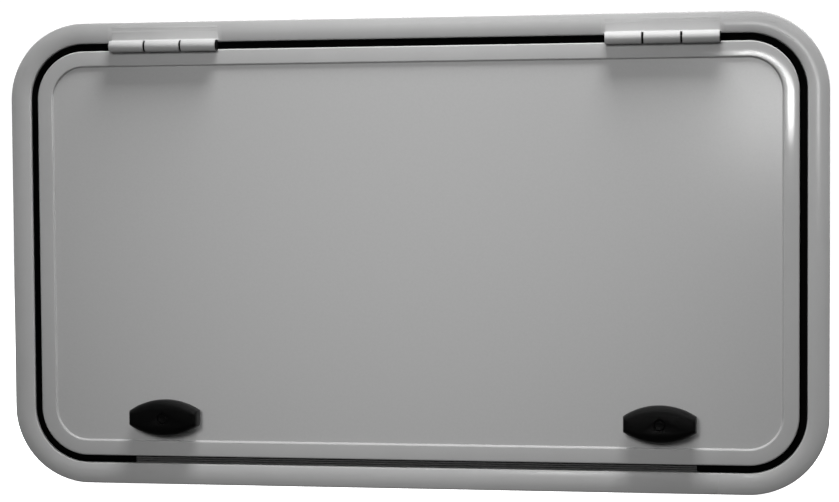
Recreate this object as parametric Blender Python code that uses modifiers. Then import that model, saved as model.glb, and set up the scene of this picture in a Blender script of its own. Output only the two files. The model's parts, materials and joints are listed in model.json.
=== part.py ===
"""Deck hatch: a flanged frame, a hinged lid with a recessed panel, and two twist latches.

The hatch stands upright: X runs along the hinge line, +Z towards the hinges, and -Y is the weather
side. The origin is the centre of the cut-out, in the plane that the flange beds down on. Sections
are given in the face frame: x across, y up the face, z outward from the bedding plane. All sizes
are in metres.
"""

import math

import bmesh
import bpy
from mathutils import Matrix, Vector

GAP = 0.0003  # between neighbouring pieces

# Frame: an inset is measured inward from the flange's outer edge, a height outward from the bed.
FRAME_WIDTH = 0.700
FRAME_HEIGHT = 0.400
CORNER_RADIUS = 0.0665  # outer edge; every inner edge shares this arc's centre
CORNER_STEPS = 12
BEAD_WIDTH = 0.0185
BEAD_CROWN_INSET = BEAD_WIDTH / 2
BEAD_CROWN = 0.0090
BEAD_DROP = 0.0011  # from the crown to either edge
BEAD_EDGE_RADIUS = 0.0014
BED_CHAMFER = 0.0006
WALL = 0.0025
SPIGOT_DEPTH = 0.0380
BED_GROOVE = (0.0050, 0.0148, 0.0055)  # first inset, last inset, depth
GUTTER_FLOOR = -0.0080
GUTTER_THICKNESS = 0.0022
UPSTAND_INSET = 0.0335
UPSTAND_THICKNESS = 0.0020
UPSTAND_TOP = -0.0050

# Lid
LID_INSET = 0.0247
RIM_TOP = 0.0090
RIM_INNER_INSET = 0.0382
RIM_LIP = 0.0014
RIM_RADIUS = 0.0013  # of both edges of the rim
LID_FOOT = -0.0040
LID_FOOT_INSET = 0.0340
LID_FOOT_THICKNESS = 0.0022
PANEL_INSET = 0.0285
PANEL_TOP = RIM_TOP - RIM_LIP - GAP
PANEL_THICKNESS = 0.0040
PANEL_BOTTOM = PANEL_TOP - PANEL_THICKNESS
PANEL_SEAL_OUTER = 0.0280
PANEL_SEAL_TOP_WIDTH = 0.0055
PANEL_SEAL_FOOT_WIDTH = 0.0045

# Seals
SEAL_TOP = 0.0015
SEAL_UPSTAND_INSET = 0.0236
SEAL_LIP = 0.0007  # lines the bead's inner wall
SEAL_LIP_TOP = 0.0064
STRIP_LENGTH = 0.483
STRIP_BOTTOM = SEAL_TOP + GAP
STRIP_BASE = 0.0026
STRIP_RIDGE_TOP = 0.0052
STRIP_RIDGE_WIDTH = 0.0010
STRIP_RIDGE_PITCH = 0.0018

# Hinges
HINGE_X = {"left": -0.2106, "right": 0.2137}
HINGE_UP = 0.1784
HINGE_OUT = 0.0143
BARREL_RADIUS = 0.0050
KNUCKLE = 0.0300
KNUCKLE_GAP = 0.0018
KNUCKLE_ROOM = 0.0005  # round the lid's knuckle
HINGE_LENGTH = 3 * KNUCKLE + 2 * KNUCKLE_GAP
PIN_RADIUS = 0.0020
PIN_END_WALL = 0.0030
BUSH_RADIUS = 0.0030
BUSH_FLANGE_RADIUS = 0.0047
BUSH_FLANGE = 0.0012
BUSH_LENGTH = 0.0100
CAP_RADIUS = 0.0048
CAP_THICKNESS = 0.0007
CAP_PLUG = 0.0040
CAP_EDGE = 0.0003
FOOT_TOE_INSET = 0.0055
FOOT_TOE = 0.0004
FOOT_THICKNESS = 0.0007
FOOT_FILLET = 0.0015
FOOT_LIFT = GAP + 0.00005  # over the bead
LEAF_THICKNESS = 0.0023
LEAF_BOTTOM = 0.0022
LEAF_SCREW_X = 0.0090
LEAF_SCREW_OUT = 0.0056

# Screws: head radius, head length, shank radius, shank length
LEAF_SCREW = (0.0026, 0.0010, 0.0015, 0.0045)
KEEPER_SCREW = (0.0025, 0.0007, 0.0013, 0.0027)
KNOB_SCREW = (0.0036, 0.0026, 0.0019, 0.0123)
HANDLE_SCREW = (0.0042, 0.0013, 0.0019, 0.0117)
HEAD_RECESS = 0.0001  # how far a head's top lies under its seat's mouth
OVERCUT = 0.0020  # how far a cutter runs past the face it opens

# Latches
LATCH_X = 0.2115
LATCH_UP = -0.1406
KNOB_LENGTH = 0.0605
KNOB_WIDTH = 0.0314
KNOB_END = 0.0130
KNOB_LEVELS = (  # height, how far the ends draw in, how far the sides draw in
    (0.0094, 0.0030, 0.0026), (0.0118, 0.0010, 0.0010), (0.0150, 0.0, 0.0), (0.0210, 0.0, 0.0),
    (0.0245, 0.0004, 0.0016), (0.0264, 0.0010, 0.0038), (0.0273, 0.0022, 0.0070),
)
KNOB_CAP = (0.0043, 0.0254, 0.0270)  # radius, bottom, top
KNOB_SCREW_TOP = 0.0249
KNOB_SCREW_SEAT = 0.0220
KNOB_BOTTOM = KNOB_LEVELS[0][0]
SPINDLE_RADIUS = 0.0050
SPINDLE_TOP = 0.0195
SPINDLE_BOTTOM = -0.0140
SPINDLE_THREAD_RADIUS = 0.0022
SPINDLE_TOP_BORE_END = 0.0090
SPINDLE_FOOT_BORE_END = -0.0040
SPINDLE_GROOVE = (0.0039, 0.0035, 0.0055)  # radius, bottom, top
O_RING = (0.0045, 0.0045, 0.0005)  # ring radius, height, section radius
LATCH_BUSH_FLANGE = (0.0125, 0.0014)  # radius, thickness
LATCH_BUSH_RADIUS = 0.0080
LATCH_BUSH_BOTTOM = -0.0015
BUSH_HOLE = 0.0084
NUT_RADIUS = 0.0120
NUT_HOLE = 0.0083
NUT_THICKNESS = 0.0040
WASHER = (0.0100, -0.0029, -0.0019)  # radius, bottom, top
HUB_RADIUS = 0.0120
HUB_TOP = -0.0032
HUB_SEAT = -0.0144
HANDLE_SCREW_SEAT = -0.0164
HANDLE_SCREW_TOP = -0.0180
HANDLE_CAP = (0.0047, -0.0183, -0.0196)  # radius, inner face, outer face
HANDLE_RECESS_RADIUS = 0.0050
ARM_TOP = -0.0126
ARM_BOTTOM = -0.0192
HUB_BOTTOM = ARM_BOTTOM - 0.0002
DOG_REACH = 0.0340
DOG_WIDTH = 0.0140
DOG_ROOT = 0.0040
LEVER_REACH = 0.0580
LEVER_END_RADIUS = 0.0070
LEVER_ROOT_HALF = 0.0105
KEEPER = (0.0400, 0.0110, 0.0018)  # length, width, thickness
KEEPER_INSET = 0.0270
KEEPER_SCREW_X = 0.0140
KEEPER_HOLE_TOP = -0.0085  # blind end of the screw holes in the gutter floor

FIXING_X = (-0.270, -0.090, 0.090, 0.270)
FIXING_UP = (-0.080, 0.080)
FIXING_HEIGHT = -0.0240
FIXING_RADIUS = 0.0026

# Face frame: x across, y up, z outward. Hinge frame: x up, y outward, z across.
FACE = Matrix.Rotation(math.pi / 2, 4, "X")
ACROSS = FACE @ Matrix(((0, 0, 1, 0), (1, 0, 0, 0), (0, 1, 0, 0), (0, 0, 0, 1)))
LEFT_RIGHT = (("left", -1), ("right", 1))


def clear_scene():
    for item in list(bpy.data.objects):
        bpy.data.objects.remove(item, do_unlink=True)


def new_collection(name):
    group = bpy.data.collections.new(name)
    bpy.context.scene.collection.children.link(group)
    return group


def new_material(name, grey, roughness, metallic):
    paint = bpy.data.materials.new(name)
    paint.use_nodes = True
    shader = paint.node_tree.nodes["Principled BSDF"]
    shader.inputs["Base Color"].default_value = (grey, grey, grey, 1.0)
    shader.inputs["Roughness"].default_value = roughness
    shader.inputs["Metallic"].default_value = metallic
    return paint


clear_scene()
HATCH = new_collection("deck_hatch")
GUIDES = new_collection("cutters")
FRAME_PAINT = new_material("frame_paint", 0.42, 0.35, 0.0)
RIM_PAINT = new_material("rim_paint", 0.42, 0.20, 0.0)
PANEL_PAINT = new_material("panel_paint", 0.40, 0.45, 0.0)
HINGE_PAINT = new_material("hinge_paint", 0.45, 0.30, 0.0)
RUBBER = new_material("rubber", 0.01, 0.80, 0.0)
STRIP_RUBBER = new_material("strip_rubber", 0.06, 0.60, 0.0)
BLACK_PLASTIC = new_material("black_plastic", 0.01, 0.40, 0.0)
STEEL = new_material("stainless", 0.60, 0.30, 1.0)
NYLON = new_material("nylon", 0.02, 0.55, 0.0)


def add_object(name, data, paint, frame):
    """Put a mesh or curve into the hatch, with its local axes laid along a frame."""
    piece = bpy.data.objects.new(name, data)
    HATCH.objects.link(piece)
    piece.matrix_world = frame
    data.materials.append(paint)
    return piece


def make_guide(piece):
    """Move a cutter or a joined shape out of the hatch, drawn as wire and never rendered."""
    for group in list(piece.users_collection):
        group.objects.unlink(piece)
    GUIDES.objects.link(piece)
    piece.hide_render = True
    piece.display_type = "WIRE"
    return piece


def outline_curve(name, outlines):
    """A flat curve with one closed straight-sided spline for each outline."""
    curve = bpy.data.curves.new(name, "CURVE")
    curve.dimensions = "2D"
    curve.fill_mode = "BOTH"
    for points in outlines:
        spline = curve.splines.new("POLY")
        spline.points.add(len(points) - 1)
        for place, (x, y) in zip(spline.points, points):
            place.co = (x, y, 0.0, 1.0)
        spline.use_cyclic_u = True
    return curve


def as_mesh(piece):
    """Swap a curve object for a mesh object of the same name, its caps welded and facing out."""
    bpy.context.view_layer.update()
    ready = piece.evaluated_get(bpy.context.evaluated_depsgraph_get())
    mesh = bpy.data.meshes.new_from_object(ready)
    frame = piece.matrix_world.copy()
    name = piece.name
    paint = piece.data.materials[0]
    bpy.data.objects.remove(piece, do_unlink=True)
    weld = bmesh.new()
    weld.from_mesh(mesh)
    bmesh.ops.remove_doubles(weld, verts=weld.verts, dist=1e-6)
    bmesh.ops.recalc_face_normals(weld, faces=weld.faces)
    weld.to_mesh(mesh)
    weld.free()
    mesh.materials.clear()
    return add_object(name, mesh, paint, frame)


def plate(name, outlines, low, high, paint, frame=FACE):
    """A flat outline, with any holes, extruded from low to high along the frame's third axis."""
    curve = outline_curve(name, outlines)
    curve.extrude = (high - low) / 2
    middle = frame @ Matrix.Translation((0.0, 0.0, (low + high) / 2))
    return as_mesh(add_object(name, curve, paint, middle))


def arc(centre, radius, start, end, steps):
    """Points along an arc, both ends included; the angles are in degrees."""
    points = []
    for step in range(steps + 1):
        angle = math.radians(start + (end - start) * step / steps)
        points.append((centre[0] + radius * math.cos(angle), centre[1] + radius * math.sin(angle)))
    return points


def circle(centre, radius, steps):
    return arc(centre, radius, 0.0, 360.0, steps)[:-1]


def hatch_outline(inset):
    """The hatch's rounded rectangle, anticlockwise, at one inset from the flange's outer edge."""
    reach = (FRAME_WIDTH / 2 - CORNER_RADIUS, FRAME_HEIGHT / 2 - CORNER_RADIUS)
    points = []
    for quarter, (side_x, side_y) in enumerate(((1, 1), (-1, 1), (-1, -1), (1, -1))):
        centre = (side_x * reach[0], side_y * reach[1])
        start = 90.0 * quarter
        points += arc(centre, CORNER_RADIUS - inset, start, start + 90.0, CORNER_STEPS)
    return points


def ring(name, section, paint):
    """A section of (inset, height) points carried all the way round the hatch."""
    profile = outline_curve(name + "_section", [section])
    profile.fill_mode = "NONE"
    guide = bpy.data.objects.new(name + "_section", profile)
    make_guide(guide)
    path = outline_curve(name, [hatch_outline(0.0)])
    path.fill_mode = "NONE"
    path.bevel_mode = "OBJECT"
    path.bevel_object = guide
    piece = as_mesh(add_object(name, path, paint, FACE))
    bpy.data.objects.remove(guide, do_unlink=True)
    return piece


def turned(name, profile, paint, frame, steps=20, closed=False):
    """A profile of (radius, height) points turned about the frame's third axis.

    The points run down the outer side, from the top to the bottom; a closed profile makes a ring.
    """
    mesh = bpy.data.meshes.new(name)
    verts = [(radius, 0.0, height) for radius, height in profile]
    edges = [(at, at + 1) for at in range(len(verts) - 1)]
    if closed:
        edges.append((len(verts) - 1, 0))
    mesh.from_pydata(verts, edges, [])
    piece = add_object(name, mesh, paint, frame)
    screw = piece.modifiers.new("turn", "SCREW")
    screw.axis = "Z"
    screw.angle = 2 * math.pi
    screw.steps = steps
    screw.render_steps = steps
    screw.use_merge_vertices = True
    screw.merge_threshold = 1e-6
    screw.use_smooth_shade = True
    return piece


def rods(name, ends, radius, sides=12):
    """One cutter holding a cylinder between each pair of face-frame points."""
    shape = bmesh.new()
    for start, end in ends:
        first, last = Vector(start), Vector(end)
        run = last - first
        turn = Vector((0.0, 0.0, 1.0)).rotation_difference(run).to_matrix().to_4x4()
        spot = Matrix.Translation((first + last) / 2) @ turn
        bmesh.ops.create_cone(
            shape, cap_ends=True, segments=sides, radius1=radius, radius2=radius,
            depth=run.length, matrix=spot,
        )
    mesh = bpy.data.meshes.new(name)
    shape.to_mesh(mesh)
    shape.free()
    return make_guide(add_object(name, mesh, STEEL, FACE))


def combine(piece, tool, operation):
    """Cut a piece by a tool, or join the tool to it, with Blender's exact solver."""
    make_guide(tool)
    step = piece.modifiers.new(operation.lower(), "BOOLEAN")
    step.operation = operation
    step.object = tool
    step.solver = "EXACT"
    return piece


def cheese_screw(name, sizes, frame):
    """A screw whose head's top is the frame's origin, with its shank down the third axis."""
    head, head_length, shank, shank_length = sizes
    tip = -head_length - shank_length
    profile = (
        (0.0, 0.0), (head, 0.0), (head, -head_length), (shank, -head_length),
        (shank, tip), (0.0, tip),
    )
    return turned(name, profile, STEEL, frame, steps=12)


def bead_height(inset):
    """The flange's outer face: a shallow arch."""
    along = (inset - BEAD_CROWN_INSET) / BEAD_CROWN_INSET
    return BEAD_CROWN - BEAD_DROP * along * along


def frame_section():
    """The extrusion's section: bead, gutter wall, gutter floor with its upstand, and spigot."""
    section = [(BED_CHAMFER, 0.0), (0.0, BED_CHAMFER)]
    first, last = BEAD_EDGE_RADIUS, BEAD_WIDTH - BEAD_EDGE_RADIUS
    centre_height = bead_height(first) - BEAD_EDGE_RADIUS
    section += arc((first, centre_height), BEAD_EDGE_RADIUS, 180.0, 90.0, 4)
    for step in range(1, 8):
        inset = first + (last - first) * step / 8
        section.append((inset, bead_height(inset)))
    section += arc((last, centre_height), BEAD_EDGE_RADIUS, 90.0, 0.0, 4)
    upstand_end = UPSTAND_INSET + UPSTAND_THICKNESS
    floor_bottom = GUTTER_FLOOR - GUTTER_THICKNESS
    first, last, depth = BED_GROOVE
    section += [
        (BEAD_WIDTH, GUTTER_FLOOR), (UPSTAND_INSET, GUTTER_FLOOR), (UPSTAND_INSET, UPSTAND_TOP),
        (upstand_end, UPSTAND_TOP), (upstand_end, floor_bottom), (BEAD_WIDTH, floor_bottom),
        (BEAD_WIDTH, -SPIGOT_DEPTH), (BEAD_WIDTH - WALL, -SPIGOT_DEPTH), (BEAD_WIDTH - WALL, 0.0),
        (last, 0.0), (last, depth), (first, depth), (first, 0.0),
    ]
    return section


def fixing_holes():
    """Sideways holes through the spigot, for the installer's screws."""
    half_width, half_height = FRAME_WIDTH / 2, FRAME_HEIGHT / 2
    outer, inner = BEAD_WIDTH - WALL - OVERCUT, BEAD_WIDTH + OVERCUT
    ends = []
    for side in (-1, 1):
        for x in FIXING_X:
            start = (x, side * (half_height - outer), FIXING_HEIGHT)
            ends.append((start, (x, side * (half_height - inner), FIXING_HEIGHT)))
        for up in FIXING_UP:
            start = (side * (half_width - outer), up, FIXING_HEIGHT)
            ends.append((start, (side * (half_width - inner), up, FIXING_HEIGHT)))
    return rods("fixing_holes", ends, FIXING_RADIUS)


def hinge_centres():
    return list(HINGE_X.items())


def make_base_frame():
    frame = ring("base_frame", frame_section(), FRAME_PAINT)
    combine(frame, fixing_holes(), "DIFFERENCE")
    keeper_up = KEEPER_INSET - FRAME_HEIGHT / 2
    start = GUTTER_FLOOR - GUTTER_THICKNESS - OVERCUT
    ends = []
    for _, side in LEFT_RIGHT:
        for shift in (-KEEPER_SCREW_X, KEEPER_SCREW_X):
            x = side * LATCH_X + shift
            ends.append(((x, keeper_up, start), (x, keeper_up, KEEPER_HOLE_TOP)))
    holes = rods("keeper_screw_holes", ends, KEEPER_SCREW[2] + GAP)
    combine(frame, holes, "DIFFERENCE")


def make_frame_seal():
    """A black seal that fills the gutter, lines the bead's wall and carries the lid's foot."""
    outer = BEAD_WIDTH + GAP
    inner = UPSTAND_INSET - GAP
    floor = GUTTER_FLOOR + GAP
    land = LID_FOOT - GAP
    section = (
        (outer, floor), (outer, SEAL_LIP_TOP), (outer + SEAL_LIP, SEAL_LIP_TOP),
        (outer + SEAL_LIP, SEAL_TOP), (SEAL_UPSTAND_INSET, SEAL_TOP),
        (SEAL_UPSTAND_INSET, land), (inner, land), (inner, floor),
    )
    seal = ring("frame_seal", section, RUBBER)
    lip_up = outer - FRAME_HEIGHT / 2
    half = STRIP_LENGTH / 2 + GAP
    notch = [
        (lip_up - OVERCUT, SEAL_TOP), (lip_up + SEAL_LIP + GAP, SEAL_TOP),
        (lip_up + SEAL_LIP + GAP, SEAL_LIP_TOP + OVERCUT), (lip_up - OVERCUT, SEAL_LIP_TOP + OVERCUT),
    ]
    combine(seal, plate("strip_notch", [notch], -half, half, None, ACROSS), "DIFFERENCE")


def make_gutter_strip():
    """A ribbed strip in the gap under the lid's lower edge."""
    low = BEAD_WIDTH + GAP - FRAME_HEIGHT / 2
    high = low + 2 * STRIP_RIDGE_PITCH + STRIP_RIDGE_WIDTH
    outline = [(low, STRIP_BOTTOM)]
    for ridge in range(3):
        foot = low + ridge * STRIP_RIDGE_PITCH
        end = foot + STRIP_RIDGE_WIDTH
        outline += [(foot, STRIP_RIDGE_TOP), (end, STRIP_RIDGE_TOP)]
        if ridge < 2:
            outline += [(end, STRIP_BASE), (foot + STRIP_RIDGE_PITCH, STRIP_BASE)]
    outline.append((high, STRIP_BOTTOM))
    half = STRIP_LENGTH / 2
    plate("gutter_strip", [outline], -half, half, STRIP_RUBBER, ACROSS)


def make_lid_frame():
    rim_bottom = RIM_TOP - RIM_LIP
    inner_wall = LID_INSET + WALL
    foot_top = LID_FOOT + LID_FOOT_THICKNESS
    round_up = RIM_TOP - RIM_RADIUS
    section = [(RIM_INNER_INSET, rim_bottom)]
    section += arc((RIM_INNER_INSET - RIM_RADIUS, round_up), RIM_RADIUS, 0.0, 90.0, 3)
    section += arc((LID_INSET + RIM_RADIUS, round_up), RIM_RADIUS, 90.0, 180.0, 3)
    section += [
        (LID_INSET, LID_FOOT), (LID_FOOT_INSET, LID_FOOT), (LID_FOOT_INSET, foot_top),
        (inner_wall, foot_top), (inner_wall, rim_bottom),
    ]
    lid = ring("lid_frame", section, RIM_PAINT)
    wall_up = FRAME_HEIGHT / 2 - LID_INSET
    ends = []
    for _, centre in hinge_centres():
        for side in (-1, 1):
            x = centre + side * LEAF_SCREW_X
            start = (x, wall_up + OVERCUT, LEAF_SCREW_OUT)
            ends.append((start, (x, wall_up - WALL - OVERCUT, LEAF_SCREW_OUT)))
    holes = rods("leaf_screw_holes", ends, LEAF_SCREW[2] + GAP)
    return [combine(lid, holes, "DIFFERENCE")]


def make_lid_panel():
    outlines = [hatch_outline(PANEL_INSET)]
    for _, side in LEFT_RIGHT:
        outlines.append(circle((side * LATCH_X, LATCH_UP), BUSH_HOLE, 20))
    return [plate("lid_panel", outlines, PANEL_BOTTOM, PANEL_TOP, PANEL_PAINT)]


def make_panel_seal():
    """The wedge strip that clamps the panel up against the rim's lip."""
    top = PANEL_BOTTOM - GAP
    bottom = LID_FOOT + LID_FOOT_THICKNESS + GAP
    section = (
        (PANEL_SEAL_OUTER + PANEL_SEAL_TOP_WIDTH, top), (PANEL_SEAL_OUTER, top),
        (PANEL_SEAL_OUTER, bottom), (PANEL_SEAL_OUTER + PANEL_SEAL_FOOT_WIDTH, bottom),
    )
    return [ring("panel_seal", section, RUBBER)]


def make_frame_leaf(name, centre):
    """Two outer knuckles on a thin foot that fairs over the frame's bead."""
    axis = (HINGE_UP, HINGE_OUT)
    half_height = FRAME_HEIGHT / 2
    fillet_up = HINGE_UP + BARREL_RADIUS + FOOT_FILLET
    fillet_inset = half_height - fillet_up
    under = []
    for step in range(7):
        inset = fillet_inset + (FOOT_TOE_INSET - fillet_inset) * step / 6
        under.append((inset, bead_height(inset) + FOOT_LIFT))
    outline = []
    for inset, height in reversed(under):
        share = (inset - FOOT_TOE_INSET) / (fillet_inset - FOOT_TOE_INSET)
        thickness = FOOT_TOE + (FOOT_THICKNESS - FOOT_TOE) * share
        outline.append((half_height - inset, height + thickness))
    fillet = (fillet_up, outline[-1][1] + FOOT_FILLET)
    outline += arc(fillet, FOOT_FILLET, 270.0, 180.0, 6)[1:]
    outline += arc(axis, BARREL_RADIUS, 0.0, 315.0, 22)
    edge_inset = BEAD_WIDTH - BEAD_EDGE_RADIUS
    neck_height = bead_height(edge_inset) + FOOT_LIFT
    outline.append((HINGE_UP + BARREL_RADIUS * math.sqrt(0.5), neck_height))
    outline.append((half_height - edge_inset, neck_height))
    outline += [(half_height - inset, height) for inset, height in under]
    start = centre - HINGE_LENGTH / 2
    end = centre + HINGE_LENGTH / 2
    leaf = plate("hinge_frame_leaf_" + name, [outline], start, end, HINGE_PAINT, ACROSS)
    reach = KNUCKLE / 2 + KNUCKLE_GAP
    middle = ((centre - reach, *axis), (centre + reach, *axis))
    room = rods("knuckle_room_" + name, [middle], BARREL_RADIUS + KNUCKLE_ROOM, 28)
    combine(leaf, room, "DIFFERENCE")
    bore = ((start + PIN_END_WALL, *axis), (end + OVERCUT, *axis))
    combine(leaf, rods("pin_bore_" + name, [bore], PIN_RADIUS + GAP, 16), "DIFFERENCE")


def make_hinge_pin(name, centre):
    """The pin, its end cap, and the flanged bushes that fill the gaps between the knuckles."""
    frame = ACROSS @ Matrix.Translation((HINGE_UP, HINGE_OUT, centre))
    half = HINGE_LENGTH / 2
    tip = -half + PIN_END_WALL + GAP
    top = half - CAP_PLUG - GAP
    shape = ((0.0, top), (PIN_RADIUS, top), (PIN_RADIUS, tip), (0.0, tip))
    turned("hinge_pin_" + name, shape, STEEL, frame, steps=16)
    under = half + GAP
    outside = under + CAP_THICKNESS
    plug = half - CAP_PLUG
    shape = (
        (0.0, outside), (CAP_RADIUS - CAP_EDGE, outside), (CAP_RADIUS, outside - CAP_EDGE),
        (CAP_RADIUS, under), (PIN_RADIUS, under), (PIN_RADIUS, plug), (0.0, plug),
    )
    turned("hinge_cap_" + name, shape, BLACK_PLASTIC, frame, steps=16)
    for side in (-1, 1):
        word = "outer" if side * centre > 0 else "inner"
        flange_end = KNUCKLE / 2 + GAP
        shape = [
            (BUSH_FLANGE_RADIUS, flange_end + BUSH_FLANGE), (BUSH_FLANGE_RADIUS, flange_end),
            (BUSH_RADIUS, flange_end), (BUSH_RADIUS, flange_end - BUSH_LENGTH),
            (PIN_RADIUS + GAP, flange_end - BUSH_LENGTH),
            (PIN_RADIUS + GAP, flange_end + BUSH_FLANGE),
        ]
        flip = Matrix.Identity(4) if side > 0 else Matrix.Rotation(math.pi, 4, "X")
        turned(f"hinge_bush_{name}_{word}", shape, NYLON, frame @ flip, steps=16, closed=True)


def make_lid_leaf(name, centre):
    """The middle knuckle, with a short plate screwed to the lid frame's outer wall."""
    axis = (HINGE_UP, HINGE_OUT)
    near = FRAME_HEIGHT / 2 - LID_INSET + GAP
    far = near + LEAF_THICKNESS
    first = math.degrees(-math.acos((far - HINGE_UP) / BARREL_RADIUS))
    last = 360.0 - math.degrees(math.acos((near - HINGE_UP) / BARREL_RADIUS))
    outline = arc(axis, BARREL_RADIUS, first, last, 26)
    outline += [(near, LEAF_BOTTOM), (far, LEAF_BOTTOM)]
    low, high = centre - KNUCKLE / 2, centre + KNUCKLE / 2
    leaf = plate("hinge_lid_leaf_" + name, [outline], low, high, HINGE_PAINT, ACROSS)
    bore = ((low - OVERCUT, *axis), (high + OVERCUT, *axis))
    combine(leaf, rods("bush_bore_" + name, [bore], BUSH_RADIUS + GAP, 16), "DIFFERENCE")
    head, head_length, shank, _ = LEAF_SCREW
    seat = far - head_length - HEAD_RECESS - GAP
    pieces = [leaf]
    seats = []
    shanks = []
    for side in (-1, 1):
        x = centre + side * LEAF_SCREW_X
        seats.append(((x, seat, LEAF_SCREW_OUT), (x, far + OVERCUT, LEAF_SCREW_OUT)))
        shanks.append(((x, near - OVERCUT, LEAF_SCREW_OUT), (x, (seat + far) / 2, LEAF_SCREW_OUT)))
        head_top = FACE @ Matrix.Translation((x, far - HEAD_RECESS, LEAF_SCREW_OUT))
        head_top = head_top @ Matrix.Rotation(-math.pi / 2, 4, "X")
        word = "outer" if side * centre > 0 else "inner"
        pieces.append(cheese_screw(f"leaf_screw_{name}_{word}", LEAF_SCREW, head_top))
    combine(leaf, rods("leaf_screw_seats_" + name, seats, head + GAP), "DIFFERENCE")
    combine(leaf, rods("leaf_screw_shanks_" + name, shanks, shank + GAP), "DIFFERENCE")
    return pieces


def make_keeper(name, side):
    """A wear plate under the gutter floor, which the latch's dog turns behind."""
    length, width, thickness = KEEPER
    x = side * LATCH_X
    up = KEEPER_INSET - FRAME_HEIGHT / 2
    top = GUTTER_FLOOR - GUTTER_THICKNESS - GAP
    bottom = top - thickness
    corners = ((-1, -1), (1, -1), (1, 1), (-1, 1))
    outline = [(x + sx * length / 2, up + sy * width / 2) for sx, sy in corners]
    keeper = plate("keeper_" + name, [outline], bottom, top, STEEL)
    head, head_length, shank, _ = KEEPER_SCREW
    seat = bottom + head_length + HEAD_RECESS + GAP
    seats = []
    shanks = []
    for shift in (-KEEPER_SCREW_X, KEEPER_SCREW_X):
        seats.append(((x + shift, up, bottom - OVERCUT), (x + shift, up, seat)))
        shanks.append(((x + shift, up, (seat + bottom) / 2), (x + shift, up, top + OVERCUT)))
        frame = FACE @ Matrix.Translation((x + shift, up, bottom + HEAD_RECESS))
        frame = frame @ Matrix.Rotation(math.pi, 4, "X")
        word = "outer" if shift * side > 0 else "inner"
        cheese_screw(f"keeper_screw_{name}_{word}", KEEPER_SCREW, frame)
    combine(keeper, rods("keeper_seats_" + name, seats, head + GAP), "DIFFERENCE")
    combine(keeper, rods("keeper_shanks_" + name, shanks, shank + GAP), "DIFFERENCE")


def knob_outline():
    """Bowed long sides between two short straight ends."""
    half_length, half_width, half_end = KNOB_LENGTH / 2, KNOB_WIDTH / 2, KNOB_END / 2
    rise = half_width - half_end
    radius = (half_length**2 + rise**2) / (2 * rise)
    spread = math.degrees(math.asin(half_length / radius))
    upper = arc((0.0, half_width - radius), radius, 90.0 - spread, 90.0 + spread, 12)
    lower = arc((0.0, radius - half_width), radius, 270.0 - spread, 270.0 + spread, 12)
    return upper + lower


def make_knob(name, frame):
    """A grip raised level by level: undercut at its foot, and drawn in over its crown."""
    shape = bmesh.new()
    floor = shape.faces.new([shape.verts.new((x, y, 0.0)) for x, y in knob_outline()])
    face = floor
    last_x, last_y = 1.0, 1.0
    for level, (height, ends, sides) in enumerate(KNOB_LEVELS):
        if level:
            grown = bmesh.ops.extrude_face_region(shape, geom=[face])["geom"]
            if face is not floor:
                shape.faces.remove(face)
            face = [item for item in grown if isinstance(item, bmesh.types.BMFace)][0]
        scale_x = 1.0 - 2.0 * ends / KNOB_LENGTH
        scale_y = 1.0 - 2.0 * sides / KNOB_WIDTH
        for vert in face.verts:
            vert.co.x *= scale_x / last_x
            vert.co.y *= scale_y / last_y
            vert.co.z = height
        last_x, last_y = scale_x, scale_y
    bmesh.ops.recalc_face_normals(shape, faces=shape.faces)
    mesh = bpy.data.meshes.new(name)
    shape.to_mesh(mesh)
    shape.free()
    knob = add_object(name, mesh, BLACK_PLASTIC, frame)
    recess = KNOB_CAP[0] + GAP
    thread = KNOB_SCREW[2] + GAP
    socket = SPINDLE_RADIUS + GAP
    shoulder = SPINDLE_TOP + 0.0005
    above = KNOB_LEVELS[-1][0] + OVERCUT
    below = KNOB_BOTTOM - OVERCUT
    profile = (
        (0.0, above), (recess, above), (recess, KNOB_SCREW_SEAT), (thread, KNOB_SCREW_SEAT),
        (thread, shoulder), (socket, shoulder), (socket, below), (0.0, below),
    )
    return combine(knob, turned(name + "_bore", profile, STEEL, frame, steps=20), "DIFFERENCE")


def make_inner_handle(name, side, frame):
    """Lever, hub and dog in one casting; the lever points to the hatch's middle line."""
    dog_half = DOG_WIDTH / 2
    end = (LEVER_REACH - LEVER_END_RADIUS, 0.0)
    outline = [(0.0, -LEVER_ROOT_HALF)]
    outline += arc(end, LEVER_END_RADIUS, -90.0, 90.0, 8)
    outline += [(0.0, LEVER_ROOT_HALF), (-DOG_ROOT, dog_half), (-DOG_REACH, dog_half)]
    outline += [(-DOG_REACH, -dog_half), (-DOG_ROOT, -dog_half)]
    outline = [(-side * x, y) for x, y in outline]
    handle = plate(name, [outline], ARM_BOTTOM, ARM_TOP, BLACK_PLASTIC, frame)
    hub = ((0.0, HUB_TOP), (HUB_RADIUS, HUB_TOP), (HUB_RADIUS, HUB_BOTTOM), (0.0, HUB_BOTTOM))
    combine(handle, turned(name + "_hub", hub, STEEL, frame, steps=24), "UNION")
    socket = SPINDLE_RADIUS + GAP
    thread = HANDLE_SCREW[2] + GAP
    above = HUB_TOP + OVERCUT
    below = HUB_BOTTOM - OVERCUT
    bore = (
        (0.0, above), (socket, above), (socket, HUB_SEAT), (thread, HUB_SEAT),
        (thread, HANDLE_SCREW_SEAT), (HANDLE_RECESS_RADIUS, HANDLE_SCREW_SEAT),
        (HANDLE_RECESS_RADIUS, below), (0.0, below),
    )
    return combine(handle, turned(name + "_bore", bore, STEEL, frame, steps=20), "DIFFERENCE")


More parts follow.
